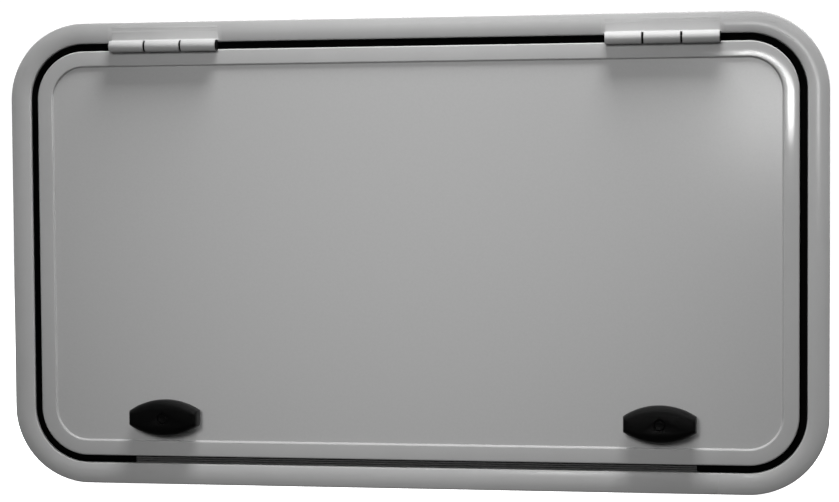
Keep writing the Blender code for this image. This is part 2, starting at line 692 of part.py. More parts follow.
def make_latch_seat(name, frame):
    """The flanged bush through the panel and the nut that clamps it from inside."""
    seat = PANEL_TOP + GAP
    bore = SPINDLE_RADIUS + GAP
    flange, flange_thickness = LATCH_BUSH_FLANGE
    top = seat + flange_thickness
    shape = (
        (flange, top), (flange, seat), (LATCH_BUSH_RADIUS, seat),
        (LATCH_BUSH_RADIUS, LATCH_BUSH_BOTTOM), (bore, LATCH_BUSH_BOTTOM), (bore, top),
    )
    bush = turned("latch_bush_" + name, shape, BLACK_PLASTIC, frame, steps=24, closed=True)
    outlines = [circle((0.0, 0.0), NUT_RADIUS, 6), circle((0.0, 0.0), NUT_HOLE, 20)]
    high = PANEL_BOTTOM - GAP
    nut = plate("latch_nut_" + name, outlines, high - NUT_THICKNESS, high, NYLON, frame)
    return [bush, nut]


def spindle_profile():
    """Down the spindle's outer side, with the O-ring's groove and a blind thread at each end."""
    groove, groove_bottom, groove_top = SPINDLE_GROOVE
    thread = SPINDLE_THREAD_RADIUS
    return (
        (0.0, SPINDLE_TOP_BORE_END), (thread, SPINDLE_TOP_BORE_END), (thread, SPINDLE_TOP),
        (SPINDLE_RADIUS, SPINDLE_TOP), (SPINDLE_RADIUS, groove_top), (groove, groove_top),
        (groove, groove_bottom), (SPINDLE_RADIUS, groove_bottom),
        (SPINDLE_RADIUS, SPINDLE_BOTTOM), (thread, SPINDLE_BOTTOM),
        (thread, SPINDLE_FOOT_BORE_END), (0.0, SPINDLE_FOOT_BORE_END),
    )


def cap_profile(radius, inner_face, outer_face):
    """A shallow button, from its domed outer face to its flat inner one."""
    bulge = outer_face - inner_face
    profile = [
        (0.0, outer_face), (0.8 * radius, outer_face - 0.1 * bulge),
        (radius, outer_face - 0.4 * bulge), (radius, inner_face), (0.0, inner_face),
    ]
    return profile if bulge > 0 else profile[::-1]


def make_latch(name, side, frame):
    """Everything that turns with one knob."""
    ring_radius, ring_height, ring_section = O_RING
    o_ring = arc((ring_radius, ring_height), ring_section, 360.0, 45.0, 7)
    washer_radius, washer_bottom, washer_top = WASHER
    washer_bore = SPINDLE_RADIUS + GAP
    washer = (
        (washer_radius, washer_top), (washer_radius, washer_bottom),
        (washer_bore, washer_bottom), (washer_bore, washer_top),
    )
    knob_head = frame @ Matrix.Translation((0.0, 0.0, KNOB_SCREW_TOP))
    handle_head = frame @ Matrix.Translation((0.0, 0.0, HANDLE_SCREW_TOP))
    handle_head = handle_head @ Matrix.Rotation(math.pi, 4, "X")
    knob_cap = cap_profile(*KNOB_CAP)
    handle_cap = cap_profile(*HANDLE_CAP)
    return [
        make_knob("knob_" + name, frame),
        turned("knob_cap_" + name, knob_cap, BLACK_PLASTIC, frame, steps=16),
        cheese_screw("knob_screw_" + name, KNOB_SCREW, knob_head),
        turned("spindle_" + name, spindle_profile(), STEEL, frame, steps=20),
        turned("spindle_o_ring_" + name, o_ring, RUBBER, frame, steps=20, closed=True),
        turned("thrust_washer_" + name, washer, NYLON, frame, steps=20, closed=True),
        make_inner_handle("inner_handle_" + name, side, frame),
        cheese_screw("handle_screw_" + name, HANDLE_SCREW, handle_head),
        turned("handle_cap_" + name, handle_cap, BLACK_PLASTIC, frame, steps=16),
    ]


def new_pivot(name, frame, parent=None):
    """An empty on a joint's axis, which carries the pieces that turn about it."""
    pivot = bpy.data.objects.new(name, None)
    HATCH.objects.link(pivot)
    if parent is not None:
        pivot.parent = parent
        pivot.matrix_parent_inverse = parent.matrix_world.inverted()
    pivot.matrix_world = frame
    bpy.context.view_layer.update()
    return pivot


def hang(pieces, pivot):
    """Parent the pieces to a pivot where they are."""
    for piece in pieces:
        frame = piece.matrix_world.copy()
        piece.parent = pivot
        piece.matrix_parent_inverse = pivot.matrix_world.inverted()
        piece.matrix_world = frame


def build_hatch():
    make_base_frame()
    make_frame_seal()
    make_gutter_strip()
    lid = make_lid_frame() + make_lid_panel() + make_panel_seal()
    for name, centre in hinge_centres():
        make_frame_leaf(name, centre)
        make_hinge_pin(name, centre)
        lid += make_lid_leaf(name, centre)
    lid_pivot = new_pivot("lid_pivot", FACE @ Matrix.Translation((0.0, HINGE_UP, HINGE_OUT)))
    for name, side in LEFT_RIGHT:
        make_keeper(name, side)
        frame = FACE @ Matrix.Translation((side * LATCH_X, LATCH_UP, 0.0))
        lid += make_latch_seat(name, frame)
        pivot = new_pivot("latch_pivot_" + name, frame, lid_pivot)
        hang(make_latch(name, side, frame), pivot)
    hang(lid, lid_pivot)


build_hatch()
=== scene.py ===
"""Looks of the deck hatch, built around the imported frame.

The hatch stands upright: X runs along the hinge line, +Z towards the hinges, and -Y is the weather
side. Sections are given as (inset, height): the inset runs inward from the flange's outer edge,
the height outward from the plane that the flange beds down on. All sizes are in metres.
"""

import json
import math

import bmesh
import bpy
from mathutils import Matrix, Vector

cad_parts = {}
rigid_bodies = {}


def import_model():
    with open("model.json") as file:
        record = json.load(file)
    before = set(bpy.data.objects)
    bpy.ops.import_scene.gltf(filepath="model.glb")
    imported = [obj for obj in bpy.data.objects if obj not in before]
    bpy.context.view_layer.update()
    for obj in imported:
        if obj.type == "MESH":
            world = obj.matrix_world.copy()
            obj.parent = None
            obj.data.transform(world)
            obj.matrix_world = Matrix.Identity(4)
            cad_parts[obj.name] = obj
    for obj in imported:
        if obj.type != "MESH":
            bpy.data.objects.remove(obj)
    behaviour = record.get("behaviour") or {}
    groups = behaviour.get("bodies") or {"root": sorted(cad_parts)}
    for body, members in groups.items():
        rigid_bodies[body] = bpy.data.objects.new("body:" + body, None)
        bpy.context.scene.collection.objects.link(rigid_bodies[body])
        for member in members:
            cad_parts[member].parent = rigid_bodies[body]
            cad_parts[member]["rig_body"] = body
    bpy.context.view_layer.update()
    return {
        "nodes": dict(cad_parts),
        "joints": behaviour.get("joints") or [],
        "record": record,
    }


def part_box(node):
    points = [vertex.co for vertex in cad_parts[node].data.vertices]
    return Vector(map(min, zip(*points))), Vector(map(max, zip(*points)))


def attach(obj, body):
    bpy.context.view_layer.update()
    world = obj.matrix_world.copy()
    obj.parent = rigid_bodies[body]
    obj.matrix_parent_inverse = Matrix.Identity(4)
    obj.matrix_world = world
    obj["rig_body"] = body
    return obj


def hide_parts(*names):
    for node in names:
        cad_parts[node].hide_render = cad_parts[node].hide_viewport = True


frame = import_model()
NODES = frame["nodes"]
JOINTS = {joint["name"]: joint for joint in frame["joints"]}
SIDES = (("left", -1), ("right", 1))

# Places that the frame gives
FRAME_LOW, FRAME_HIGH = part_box("base_frame")
HALF_WIDTH, HALF_HEIGHT = FRAME_HIGH.x, FRAME_HIGH.z
BEAD_CROWN, SPIGOT_BACK = -FRAME_LOW.y, -FRAME_HIGH.y
LID_LOW, LID_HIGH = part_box("lid_frame")
RIM_TOP, LID_FOOT = -LID_LOW.y, -LID_HIGH.y
LID_INSET = HALF_WIDTH - LID_HIGH.x
PANEL_LOW, PANEL_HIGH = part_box("lid_panel")
PANEL_TOP, PANEL_BOTTOM = -PANEL_LOW.y, -PANEL_HIGH.y
PANEL_INSET = HALF_WIDTH - PANEL_HIGH.x
HINGE_AXIS = Vector(JOINTS["lid_hinge"]["pos_m"])
LATCHES = {name: Vector(JOINTS[f"latch_{name}_turn"]["pos_m"]) for name, _ in SIDES}

# Flange and spigot
GAP = 0.0003
CORNER_RADIUS = 0.0665
CORNER_STEPS = 28
BEAD_WIDTH = 0.0185
CROWN_INSET = BEAD_WIDTH / 2
BEAD_DROP = 0.0011
BEAD_EDGE_RADIUS = 0.0014
WALL = 0.0025
BED_GROOVE = (0.0050, 0.0148, 0.0055)  # first inset, last inset, depth
GUTTER_FLOOR = -0.0080
GUTTER_THICKNESS = 0.0022
UPSTAND_INSET = 0.0335
UPSTAND_THICKNESS = 0.0020
UPSTAND_TOP = -0.0050
SMALL_EDGE = 0.0004
ROOT_RADIUS = 0.0008
UPSTAND_ROOT_RADIUS = 0.0006
FLANGE_FOOT = 0.0006  # the chamfer along the flange's outer edge where it beds down
OVERCUT = 0.002  # how far a cutter runs past the face that it opens
SPIGOT_HOLE_RADIUS = 0.0026
SPIGOT_HOLE_HEIGHT = -0.0240
SPIGOT_HOLES_X = (-0.270, -0.090, 0.090, 0.270)
SPIGOT_HOLES_UP = (-0.080, 0.080)

# The seam where the bent extrusion's ends meet
BUTT_SEAM_X = 0.2595
BUTT_SEAM_HALF = 0.0004
BUTT_SEAM_DEPTH = 0.00012
BUTT_SEAM_LOW = 0.0060

# Screws: head radius, head length, shank radius
LEAF_SCREW = (0.0026, 0.0010, 0.0015)
KEEPER_SCREW = (0.0025, 0.0007, 0.0013)
SCREW_ROOM = 0.0003  # round a shank or a head
SEAT_OVERLAP = 0.0002  # of a shank's cutter into the head's


def to_world(x, up, out):
    """A point across, up and outward from the bedding plane."""
    return Vector((x, -out, up))


def arc(centre, radius, start, end, steps):
    """Points along an arc, both ends included; the angles are in degrees."""
    points = []
    for step in range(steps + 1):
        angle = math.radians(start + (end - start) * step / steps)
        points.append((centre[0] + radius * math.cos(angle), centre[1] + radius * math.sin(angle)))
    return points


def softened(corners, steps=3):
    """Round off each (x, y, radius) corner of a closed outline; a radius of 0 stays sharp."""
    points = []
    count = len(corners)
    for at, (x, y, radius) in enumerate(corners):
        here = Vector((x, y))
        if radius <= 0.0:
            points.append((x, y))
            continue
        back = (Vector(corners[at - 1][:2]) - here).normalized()
        on = (Vector(corners[(at + 1) % count][:2]) - here).normalized()
        half = back.angle(on) / 2
        trim = radius / math.tan(half)
        centre = here + (back + on).normalized() * (radius / math.sin(half))
        first = here + back * trim - centre
        last = here + on * trim - centre
        sweep = first.angle_signed(last)
        for step in range(steps + 1):
            spoke = first.copy()
            spoke.rotate(Matrix.Rotation(-sweep * step / steps, 2))
            points.append(tuple(centre + spoke))
    return points


def hatch_stations():
    """Each stop round the rounded rectangle: the arc's centre, the outward direction, a groove depth."""
    stations = []
    for quarter, (side_x, side_y) in enumerate(((1, 1), (-1, 1), (-1, -1), (1, -1))):
        centre = (side_x * (HALF_WIDTH - CORNER_RADIUS), side_y * (HALF_HEIGHT - CORNER_RADIUS))
        for step in range(CORNER_STEPS + 1):
            angle = math.radians(90.0 * (quarter + step / CORNER_STEPS))
            stations.append((centre, (math.cos(angle), math.sin(angle)), 0.0))
        if quarter == 2:
            for shift, depth in ((-1, 0.0), (0, BUTT_SEAM_DEPTH), (1, 0.0)):
                seam = (BUTT_SEAM_X + shift * BUTT_SEAM_HALF, centre[1])
                stations.append((seam, (0.0, -1.0), depth))
    return stations


def new_object(name, mesh, material, smooth_angle=35.0):
    """Show a mesh, shaded smooth except across its crisp edges."""
    piece = bpy.data.objects.new(name, mesh)
    bpy.context.scene.collection.objects.link(piece)
    mesh.shade_smooth()
    mesh.set_sharp_from_angle(angle=math.radians(smooth_angle))
    mesh.materials.clear()
    mesh.materials.append(material)
    return piece


def from_bmesh(name, shape, material, smooth_angle=35.0):
    bmesh.ops.remove_doubles(shape, verts=shape.verts, dist=1e-7)
    bmesh.ops.recalc_face_normals(shape, faces=shape.faces)
    mesh = bpy.data.meshes.new(name)
    shape.to_mesh(mesh)
    shape.free()
    return new_object(name, mesh, material, smooth_angle)


def bridge(shape, loops, closed):
    """Quads between neighbouring loops of the same length, and end faces unless they close up."""
    last = len(loops) if closed else len(loops) - 1
    count = len(loops[0])
    for at in range(last):
        this, following = loops[at], loops[(at + 1) % len(loops)]
        for spot in range(count):
            beside = (spot + 1) % count
            shape.faces.new((this[spot], following[spot], following[beside], this[beside]))
    if not closed:
        shape.faces.new(loops[0])
        shape.faces.new(reversed(loops[-1]))


def ring(name, section, material, seam=False):
    """Carry a closed section of (inset, height) points all the way round the hatch."""
    shape = bmesh.new()
    loops = []
    for centre, (along_x, along_y), depth in hatch_stations():
        if not seam and depth > 0.0:
            continue
        loop = []
        for inset, height in section:
            sunk = depth if height > BUTT_SEAM_LOW else 0.0
            reach = CORNER_RADIUS - inset - sunk * (inset < CROWN_INSET)
            x = centre[0] + along_x * reach
            up = centre[1] + along_y * reach
            loop.append(shape.verts.new(to_world(x, up, height - sunk)))
        loops.append(loop)
    bridge(shape, loops, closed=True)
    return from_bmesh(name, shape, material)


def extruded(name, outline, low, high, place, material):
    """A closed outline carried from low to high; place(x, y, along) gives the world point."""
    shape = bmesh.new()
    loops = [[shape.verts.new(place(x, y, along)) for x, y in outline] for along in (low, high)]
    bridge(shape, loops, closed=False)
    return from_bmesh(name, shape, material)


def across_hinge(x, y, along):
    """Outlines in the plane across the hinge line: x up the face, y outward."""
    return to_world(along, x, y)


def turned(name, profile, axis, material, steps=48, closed=False):
    """Turn a profile of (radius, height) points; axis is a matrix whose Z is the turning axis."""
    shape = bmesh.new()
    loops = []
    for step in range(steps):
        angle = 2.0 * math.pi * step / steps
        spoke = (math.cos(angle), math.sin(angle))
        loops.append([
            shape.verts.new(axis @ Vector((spoke[0] * radius, spoke[1] * radius, height)))
            for radius, height in profile
        ])
    count = len(profile)
    for at in range(steps):
        this, following = loops[at], loops[(at + 1) % steps]
        for spot in range(count if closed else count - 1):
            beside = (spot + 1) % count
            corners = [this[spot], following[spot], following[beside], this[beside]]
            if profile[spot][0] == 0.0:
                corners.remove(following[spot])
            if profile[beside][0] == 0.0:
                corners.remove(following[beside])
            shape.faces.new(corners)
    return from_bmesh(name, shape, material)


def apply_modifiers(piece):
    """Keep what the modifiers made, and drop the modifiers."""
    bpy.context.view_layer.update()
    ready = piece.evaluated_get(bpy.context.evaluated_depsgraph_get())
    mesh = bpy.data.meshes.new_from_object(ready)
    piece.modifiers.clear()
    old = piece.data
    piece.data = mesh
    bpy.data.meshes.remove(old)


def cut(piece, tools, operation="DIFFERENCE", smooth_angle=35.0):
    """Apply Booleans with throwaway tools."""
    for tool in tools:
        step = piece.modifiers.new("cut", "BOOLEAN")
        step.operation = operation
        step.object = tool
        step.solver = "EXACT"
    apply_modifiers(piece)
    for tool in tools:
        bpy.data.objects.remove(tool, do_unlink=True)
    piece.data.shade_smooth()
    piece.data.set_sharp_from_angle(angle=math.radians(smooth_angle))
    return piece


def edge_bevel(piece, width, segments=2, angle=40.0):
    """Round the crisp edges."""
    step = piece.modifiers.new("edges", "BEVEL")
    step.width = width
    step.segments = segments
    step.limit_method = "ANGLE"
    step.angle_limit = math.radians(angle)
    step.harden_normals = False
    apply_modifiers(piece)
    piece.data.shade_smooth()
    piece.data.set_sharp_from_angle(angle=math.radians(50.0))
    return piece


def rod(start, end, radius, sides=28):
    """A cutter between two world points."""
    shape = bmesh.new()
    run = end - start
    turn = Vector((0.0, 0.0, 1.0)).rotation_difference(run).to_matrix().to_4x4()
    bmesh.ops.create_cone(
        shape, cap_ends=True, segments=sides, radius1=radius, radius2=radius,
        depth=run.length, matrix=Matrix.Translation((start + end) / 2) @ turn,
    )
    mesh = bpy.data.meshes.new("cutter")
    shape.to_mesh(mesh)
    shape.free()
    tool = bpy.data.objects.new("cutter", mesh)
    bpy.context.scene.collection.objects.link(tool)
    return tool


def block(low, high):
    """A box-shaped cutter between two opposite corners."""
    shape = bmesh.new()
    bmesh.ops.create_cube(shape, size=1.0)
    for vert in shape.verts:
        share = vert.co + Vector((0.5, 0.5, 0.5))
        vert.co = low + share * (high - low)
    mesh = bpy.data.meshes.new("cutter")
    shape.to_mesh(mesh)
    shape.free()
    tool = bpy.data.objects.new("cutter", mesh)
    bpy.context.scene.collection.objects.link(tool)
    return tool


def stand_for(piece, node):
    """The piece rides on the node's body and hides the node."""
    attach(piece, NODES[node]["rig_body"])
    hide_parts(node)
    return piece


# ---------------------------------------------------------------- materials


NOISE_LOW, NOISE_HIGH = 0.3, 0.7  # the range that most of a noise pattern stays in


class Surface:
    """A Principled material with a few short ways to wire procedural detail into it."""

    def __init__(self, name, colour, roughness, **values):
        self.material = bpy.data.materials.new(name)
        self.material.use_nodes = True
        self.tree = self.material.node_tree
        self.shader = self.tree.nodes["Principled BSDF"]
        self.colour, self.roughness = colour, roughness
        self.shader.inputs["Base Color"].default_value = (colour, colour, colour, 1.0)
        self.shader.inputs["Roughness"].default_value = roughness
        for socket, value in values.items():
            self.shader.inputs[socket.replace("_", " ")].default_value = value
        self.place = self.node("TexCoord").outputs["Object"]
        self.height = None

    def node(self, kind):
        return self.tree.nodes.new("ShaderNode" + kind)

    def link(self, source, target):
        self.tree.links.new(source, target)

    def noise(self, scale, detail=2.0, roughness=0.5, stretch=(1.0, 1.0, 1.0), warp=0.0):
        """Noise over the piece; scale is in features a metre."""
        stretched = self.node("Mapping")
        stretched.inputs["Scale"].default_value = stretch
        self.link(self.place, stretched.inputs["Vector"])
        pattern = self.node("TexNoise")
        pattern.inputs["Scale"].default_value = scale
        pattern.inputs["Detail"].default_value = detail
        pattern.inputs["Roughness"].default_value = roughness
        pattern.inputs["Distortion"].default_value = warp
        self.link(stretched.outputs["Vector"], pattern.inputs["Vector"])
        return pattern.outputs["Fac"]

    def spread(self, source, low, high):
        """Map a pattern from its usual range to low..high."""
        scaled = self.node("MapRange")
        scaled.inputs["From Min"].default_value = NOISE_LOW
        scaled.inputs["From Max"].default_value = NOISE_HIGH
        scaled.inputs["To Min"].default_value = low
        scaled.inputs["To Max"].default_value = high
        self.link(source, scaled.inputs["Value"])
        return scaled.outputs["Result"]

    def vary_colour(self, pattern, share):
        """Lighten and darken the colour by a share of itself."""
        low, high = self.colour * (1.0 - share), self.colour * (1.0 + share)
        ramp = self.node("ValToRGB")
        ramp.color_ramp.elements[0].color = (low, low, low, 1.0)
        ramp.color_ramp.elements[1].color = (high, high, high, 1.0)
        ramp.color_ramp.elements[0].position = NOISE_LOW
        ramp.color_ramp.elements[1].position = NOISE_HIGH
        self.link(pattern, ramp.inputs["Fac"])
        self.link(ramp.outputs["Color"], self.shader.inputs["Base Color"])

    def vary_roughness(self, pattern, share):
        """Raise and lower the roughness by a share of itself."""
        rough = self.spread(pattern, self.roughness * (1.0 - share), self.roughness * (1.0 + share))
        self.link(rough, self.shader.inputs["Roughness"])

    def bump(self, pattern, depth):
        """Add relief of a depth in metres on top of what is there."""
        relief = self.node("Bump")
        relief.inputs["Distance"].default_value = depth
        relief.inputs["Strength"].default_value = 1.0
        self.link(pattern, relief.inputs["Height"])
        if self.height is not None:
            self.link(self.height, relief.inputs["Normal"])
        self.height = relief.outputs["Normal"]
        self.link(self.height, self.shader.inputs["Normal"])


def powder_coat(name, colour, roughness, peel, grain, waves=0.0, **values):
    """Stoved paint: long waves, orange peel and a fine grain, with faint cloudiness."""
    paint = Surface(name, colour, roughness, **values)
    if waves:
        paint.bump(paint.noise(38.0, 1.0), waves)
    paint.bump(paint.noise(420.0, 2.0), peel)
    paint.bump(paint.noise(2600.0, 2.0, 0.6), grain)
    paint.vary_colour(paint.noise(30.0, 4.0, 0.6), 0.02)
    paint.vary_roughness(paint.noise(160.0, 3.0), 0.12)
    return paint.material


def panel_coat():
    """The panel's satin skin: a fine mottle that breaks up the gloss."""
    paint = Surface("panel_coat", 0.40, 0.21)
    paint.bump(paint.noise(260.0, 3.0, 0.6, warp=0.4), 0.000036)
    paint.bump(paint.noise(1400.0, 2.0), 0.000003)
    paint.vary_colour(paint.noise(520.0, 3.0, 0.6), 0.018)
    paint.vary_roughness(paint.noise(700.0, 3.0), 0.10)
    return paint.material


def moulded_plastic(name, colour, roughness, **values):
    """Black moulding with a spark-eroded grain and faint flow waves."""
    plastic = Surface(name, colour, roughness, **values)
    plastic.bump(plastic.noise(2400.0, 3.0, 0.6), 0.000012)
    plastic.bump(plastic.noise(150.0, 2.0), 0.00002)
    plastic.vary_colour(plastic.noise(240.0, 3.0), 0.12)
    plastic.vary_roughness(plastic.noise(420.0, 3.0), 0.12)
    return plastic.material


def rubber(name, colour, roughness, **values):
    """Matt rubber with a fine, uneven skin."""
    skin = Surface(name, colour, roughness, **values)
    skin.bump(skin.noise(1800.0, 3.0, 0.6), 0.00002)
    skin.vary_colour(skin.noise(300.0, 3.0), 0.18)
    skin.vary_roughness(skin.noise(500.0, 3.0), 0.08)
    return skin.material


def brushed_steel(name, stretch):
    """Stainless steel with its brushing along one direction."""
    steel = Surface(name, 0.60, 0.28, Metallic=1.0)
    grain = steel.noise(2200.0, 4.0, 0.7, stretch=stretch)
    steel.bump(grain, 0.000006)
    steel.vary_colour(steel.noise(260.0, 3.0), 0.05)
    steel.vary_roughness(grain, 0.25)
    return steel.material


FRAME_COAT = powder_coat("frame_coat", 0.40, 0.20, 0.000003, 0.000001)
RIM_COAT = powder_coat("rim_coat", 0.388, 0.10, 0.000003, 0.0000005, waves=0.00006)
HINGE_COAT = powder_coat("hinge_coat", 0.395, 0.46, 0.000003, 0.000001, Specular_IOR_Level=0.36)
PANEL_COAT = panel_coat()
SEAL_RUBBER = rubber("seal_rubber_skin", 0.0015, 0.85, Specular_IOR_Level=0.12)
STRIP_RUBBER = rubber("strip_rubber_skin", 0.075, 0.60)
BLACK_PLASTIC = moulded_plastic("black_plastic_skin", 0.0016, 0.44, Specular_IOR_Level=0.26)
BUSH_NYLON = moulded_plastic("bush_nylon_skin", 0.004, 0.55, Specular_IOR_Level=0.25)
STEEL = brushed_steel("stainless_turned", (1.0, 1.0, 1.0))
STEEL_PLATE = brushed_steel("stainless_plate", (0.06, 1.0, 1.0))

SLOT_LOOKS = {
    "frame_paint": FRAME_COAT, "rim_paint": RIM_COAT, "panel_paint": PANEL_COAT,
    "hinge_paint": HINGE_COAT, "seal_rubber": SEAL_RUBBER, "strip_rubber": STRIP_RUBBER,
    "black_plastic": BLACK_PLASTIC, "bush_nylon": BUSH_NYLON, "stainless": STEEL,
}
NODE_SLOTS = {part["node"]: part["material_slot"] for part in frame["record"]["subparts"]}


# ---------------------------------------------------------------- frame


def bead_height(inset):
    """The flange's outer face: a shallow arch."""
    along = (inset - CROWN_INSET) / CROWN_INSET
    return BEAD_CROWN - BEAD_DROP * along * along


def frame_section():
    """The extrusion: rounded arch, gutter, ledge with its upstand, spigot and bed groove."""
    first, last = BEAD_EDGE_RADIUS, BEAD_WIDTH - BEAD_EDGE_RADIUS
    slope = 2.0 * BEAD_DROP * (CROWN_INSET - first) / CROWN_INSET**2
    tilt = math.degrees(math.atan(slope))
    centre_height = bead_height(first) - BEAD_EDGE_RADIUS * math.cos(math.radians(tilt))
    first_centre = (first + BEAD_EDGE_RADIUS * math.sin(math.radians(tilt)), centre_height)
    last_centre = (BEAD_WIDTH - first_centre[0], centre_height)
    section = [(first_centre[0] - BEAD_EDGE_RADIUS, FLANGE_FOOT)]
    section += arc(first_centre, BEAD_EDGE_RADIUS, 180.0, 90.0 + tilt, 8)
    for step in range(1, 20):
        inset = first + (last - first) * step / 20
        section.append((inset, bead_height(inset)))
    section += arc(last_centre, BEAD_EDGE_RADIUS, 90.0 - tilt, 0.0, 8)
    upstand_end = UPSTAND_INSET + UPSTAND_THICKNESS
    floor_bottom = GUTTER_FLOOR - GUTTER_THICKNESS
    wall_inset = BEAD_WIDTH - WALL
    groove_first, groove_last, groove_depth = BED_GROOVE
    corners = [
        (BEAD_WIDTH, GUTTER_FLOOR, ROOT_RADIUS), (UPSTAND_INSET, GUTTER_FLOOR, UPSTAND_ROOT_RADIUS),
        (UPSTAND_INSET, UPSTAND_TOP, SMALL_EDGE), (upstand_end, UPSTAND_TOP, SMALL_EDGE),
        (upstand_end, floor_bottom, ROOT_RADIUS), (BEAD_WIDTH, floor_bottom, ROOT_RADIUS),
        (BEAD_WIDTH, SPIGOT_BACK, SMALL_EDGE), (wall_inset, SPIGOT_BACK, SMALL_EDGE),
        (wall_inset, 0.0, 0.0), (groove_last, 0.0, 0.0), (groove_last, groove_depth, SMALL_EDGE),
        (groove_first, groove_depth, SMALL_EDGE), (groove_first, 0.0, 0.0), (FLANGE_FOOT, 0.0, 0.0),
    ]
    return section + softened([section[-1] + (0.0,)] + corners + [section[0] + (0.0,)])[1:-1]


def build_base_frame():
    piece = ring("frame_extrusion", frame_section(), FRAME_COAT, seam=True)
    radius, height = SPIGOT_HOLE_RADIUS, SPIGOT_HOLE_HEIGHT
    outer, inner = BEAD_WIDTH - WALL - OVERCUT, BEAD_WIDTH + OVERCUT
    tools = []
    for side in (-1, 1):
        for x in SPIGOT_HOLES_X:
            start = to_world(x, side * (HALF_HEIGHT - outer), height)
            tools.append(rod(start, to_world(x, side * (HALF_HEIGHT - inner), height), radius))
        for up in SPIGOT_HOLES_UP:
            start = to_world(side * (HALF_WIDTH - outer), up, height)
            tools.append(rod(start, to_world(side * (HALF_WIDTH - inner), up, height), radius))
    for node in NODES:
        if node.startswith("keeper_screw"):
            low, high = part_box(node)
            middle = (low + high) / 2
            start = Vector((middle.x, low.y - GAP, middle.z))
            end = Vector((middle.x, high.y, middle.z))
            tools.append(rod(start, end, KEEPER_SCREW[2] + SCREW_ROOM))
    cut(piece, tools)
    stand_for(piece, "base_frame")


SEAL_CROWN = 0.0015
SEAL_STEP_INSET = 0.0236
SEAL_LINING = 0.0007
STRIP_NOTCH = 0.0010


def build_frame_seal():
    """The seal fills the gutter and lines the bead's wall, except where the ribbed strip stands."""
    outer, inner = BEAD_WIDTH + GAP, UPSTAND_INSET - GAP
    floor, land, top = GUTTER_FLOOR + GAP, LID_FOOT - GAP, -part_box("frame_seal")[0].y
    lining = outer + SEAL_LINING
    section = softened([
        (outer, floor, 0.0006), (outer, top, 0.0002), (lining, top, 0.0003),
        (lining, SEAL_CROWN, 0.0004), (SEAL_STEP_INSET, SEAL_CROWN, 0.0012),
        (SEAL_STEP_INSET, land, 0.0004), (inner, land, 0.0007), (inner, floor, 0.0006),
    ], steps=5)
    piece = ring("bulb_seal", section, SEAL_RUBBER)
    strip_low, strip_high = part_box("gutter_strip")
    low = Vector((strip_low.x - GAP, -top - OVERCUT, strip_low.z - OVERCUT))
    high = Vector((strip_high.x + GAP, -SEAL_CROWN, strip_low.z + STRIP_NOTCH))
    cut(piece, [block(low, high)])
    stand_for(piece, "frame_seal")


STRIP_BASE = 0.0008
STRIP_RIDGES = 3
STRIP_RIDGE_WIDTH = 0.0010
STRIP_RIDGE_ROUND = 0.00028
STRIP_ROOT_ROUND = 0.0002


def build_gutter_strip():
    """Three rounded ridges on a thin base."""
    low_box, high_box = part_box("gutter_strip")
    low, high = low_box.z, high_box.z
    top, bottom = -low_box.y, -high_box.y
    base = bottom + STRIP_BASE
    pitch = (high - low - STRIP_RIDGE_WIDTH) / (STRIP_RIDGES - 1)
    corners = [(low, bottom, 0.0)]
    for ridge in range(STRIP_RIDGES):
        foot = low + ridge * pitch
        end = foot + STRIP_RIDGE_WIDTH
        corners += [(foot, top, STRIP_RIDGE_ROUND), (end, top, STRIP_RIDGE_ROUND)]
        if ridge < STRIP_RIDGES - 1:
            corners += [(end, base, STRIP_ROOT_ROUND), (foot + pitch, base, STRIP_ROOT_ROUND)]
    corners.append((high, bottom, 0.0))
    outline = softened(corners, steps=4)
    piece = extruded("ribbed_strip", outline, low_box.x, high_box.x, across_hinge, STRIP_RUBBER)
    stand_for(piece, "gutter_strip")


# ---------------------------------------------------------------- lid


RIM_RADIUS = 0.0013
RIM_LIP = 0.0014
RIM_INNER_INSET = 0.0382
LID_FOOT_INSET = 0.0340
LID_FOOT_THICKNESS = 0.0022
PANEL_EDGE = 0.0004
PANEL_HOLE_RADIUS = 0.0084
SEALANT_SIZE = 0.0009
SEALANT_LAP = 0.0004
SEALANT_SKIN = 0.00002


def lid_section():
    """A channel that opens inward: the rim above, the foot below."""
    rim_bottom = RIM_TOP - RIM_LIP
    foot_top = LID_FOOT + LID_FOOT_THICKNESS
    round_up = RIM_TOP - RIM_RADIUS
    section = [(RIM_INNER_INSET, rim_bottom)]
    section += arc((RIM_INNER_INSET - RIM_RADIUS, round_up), RIM_RADIUS, 0.0, 90.0, 10)
    section += arc((LID_INSET + RIM_RADIUS, round_up), RIM_RADIUS, 90.0, 180.0, 10)
    rest = softened([
        (LID_INSET, LID_FOOT, SMALL_EDGE), (LID_FOOT_INSET, LID_FOOT, SMALL_EDGE),
        (LID_FOOT_INSET, foot_top, SMALL_EDGE), (LID_INSET + WALL, foot_top, SMALL_EDGE),
        (LID_INSET + WALL, rim_bottom, 0.0),
    ])
    return section + rest


def build_lid_frame():
    piece = ring("lid_extrusion", lid_section(), RIM_COAT)
    tools = []
    for node in NODES:
        if node.startswith("leaf_screw"):
            low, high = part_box(node)
            middle = (low + high) / 2
            start = Vector((middle.x, middle.y, low.z - GAP))
            end = Vector((middle.x, middle.y, high.z))
            tools.append(rod(start, end, LEAF_SCREW[2] + SCREW_ROOM))
    cut(piece, tools)
    stand_for(piece, "lid_frame")


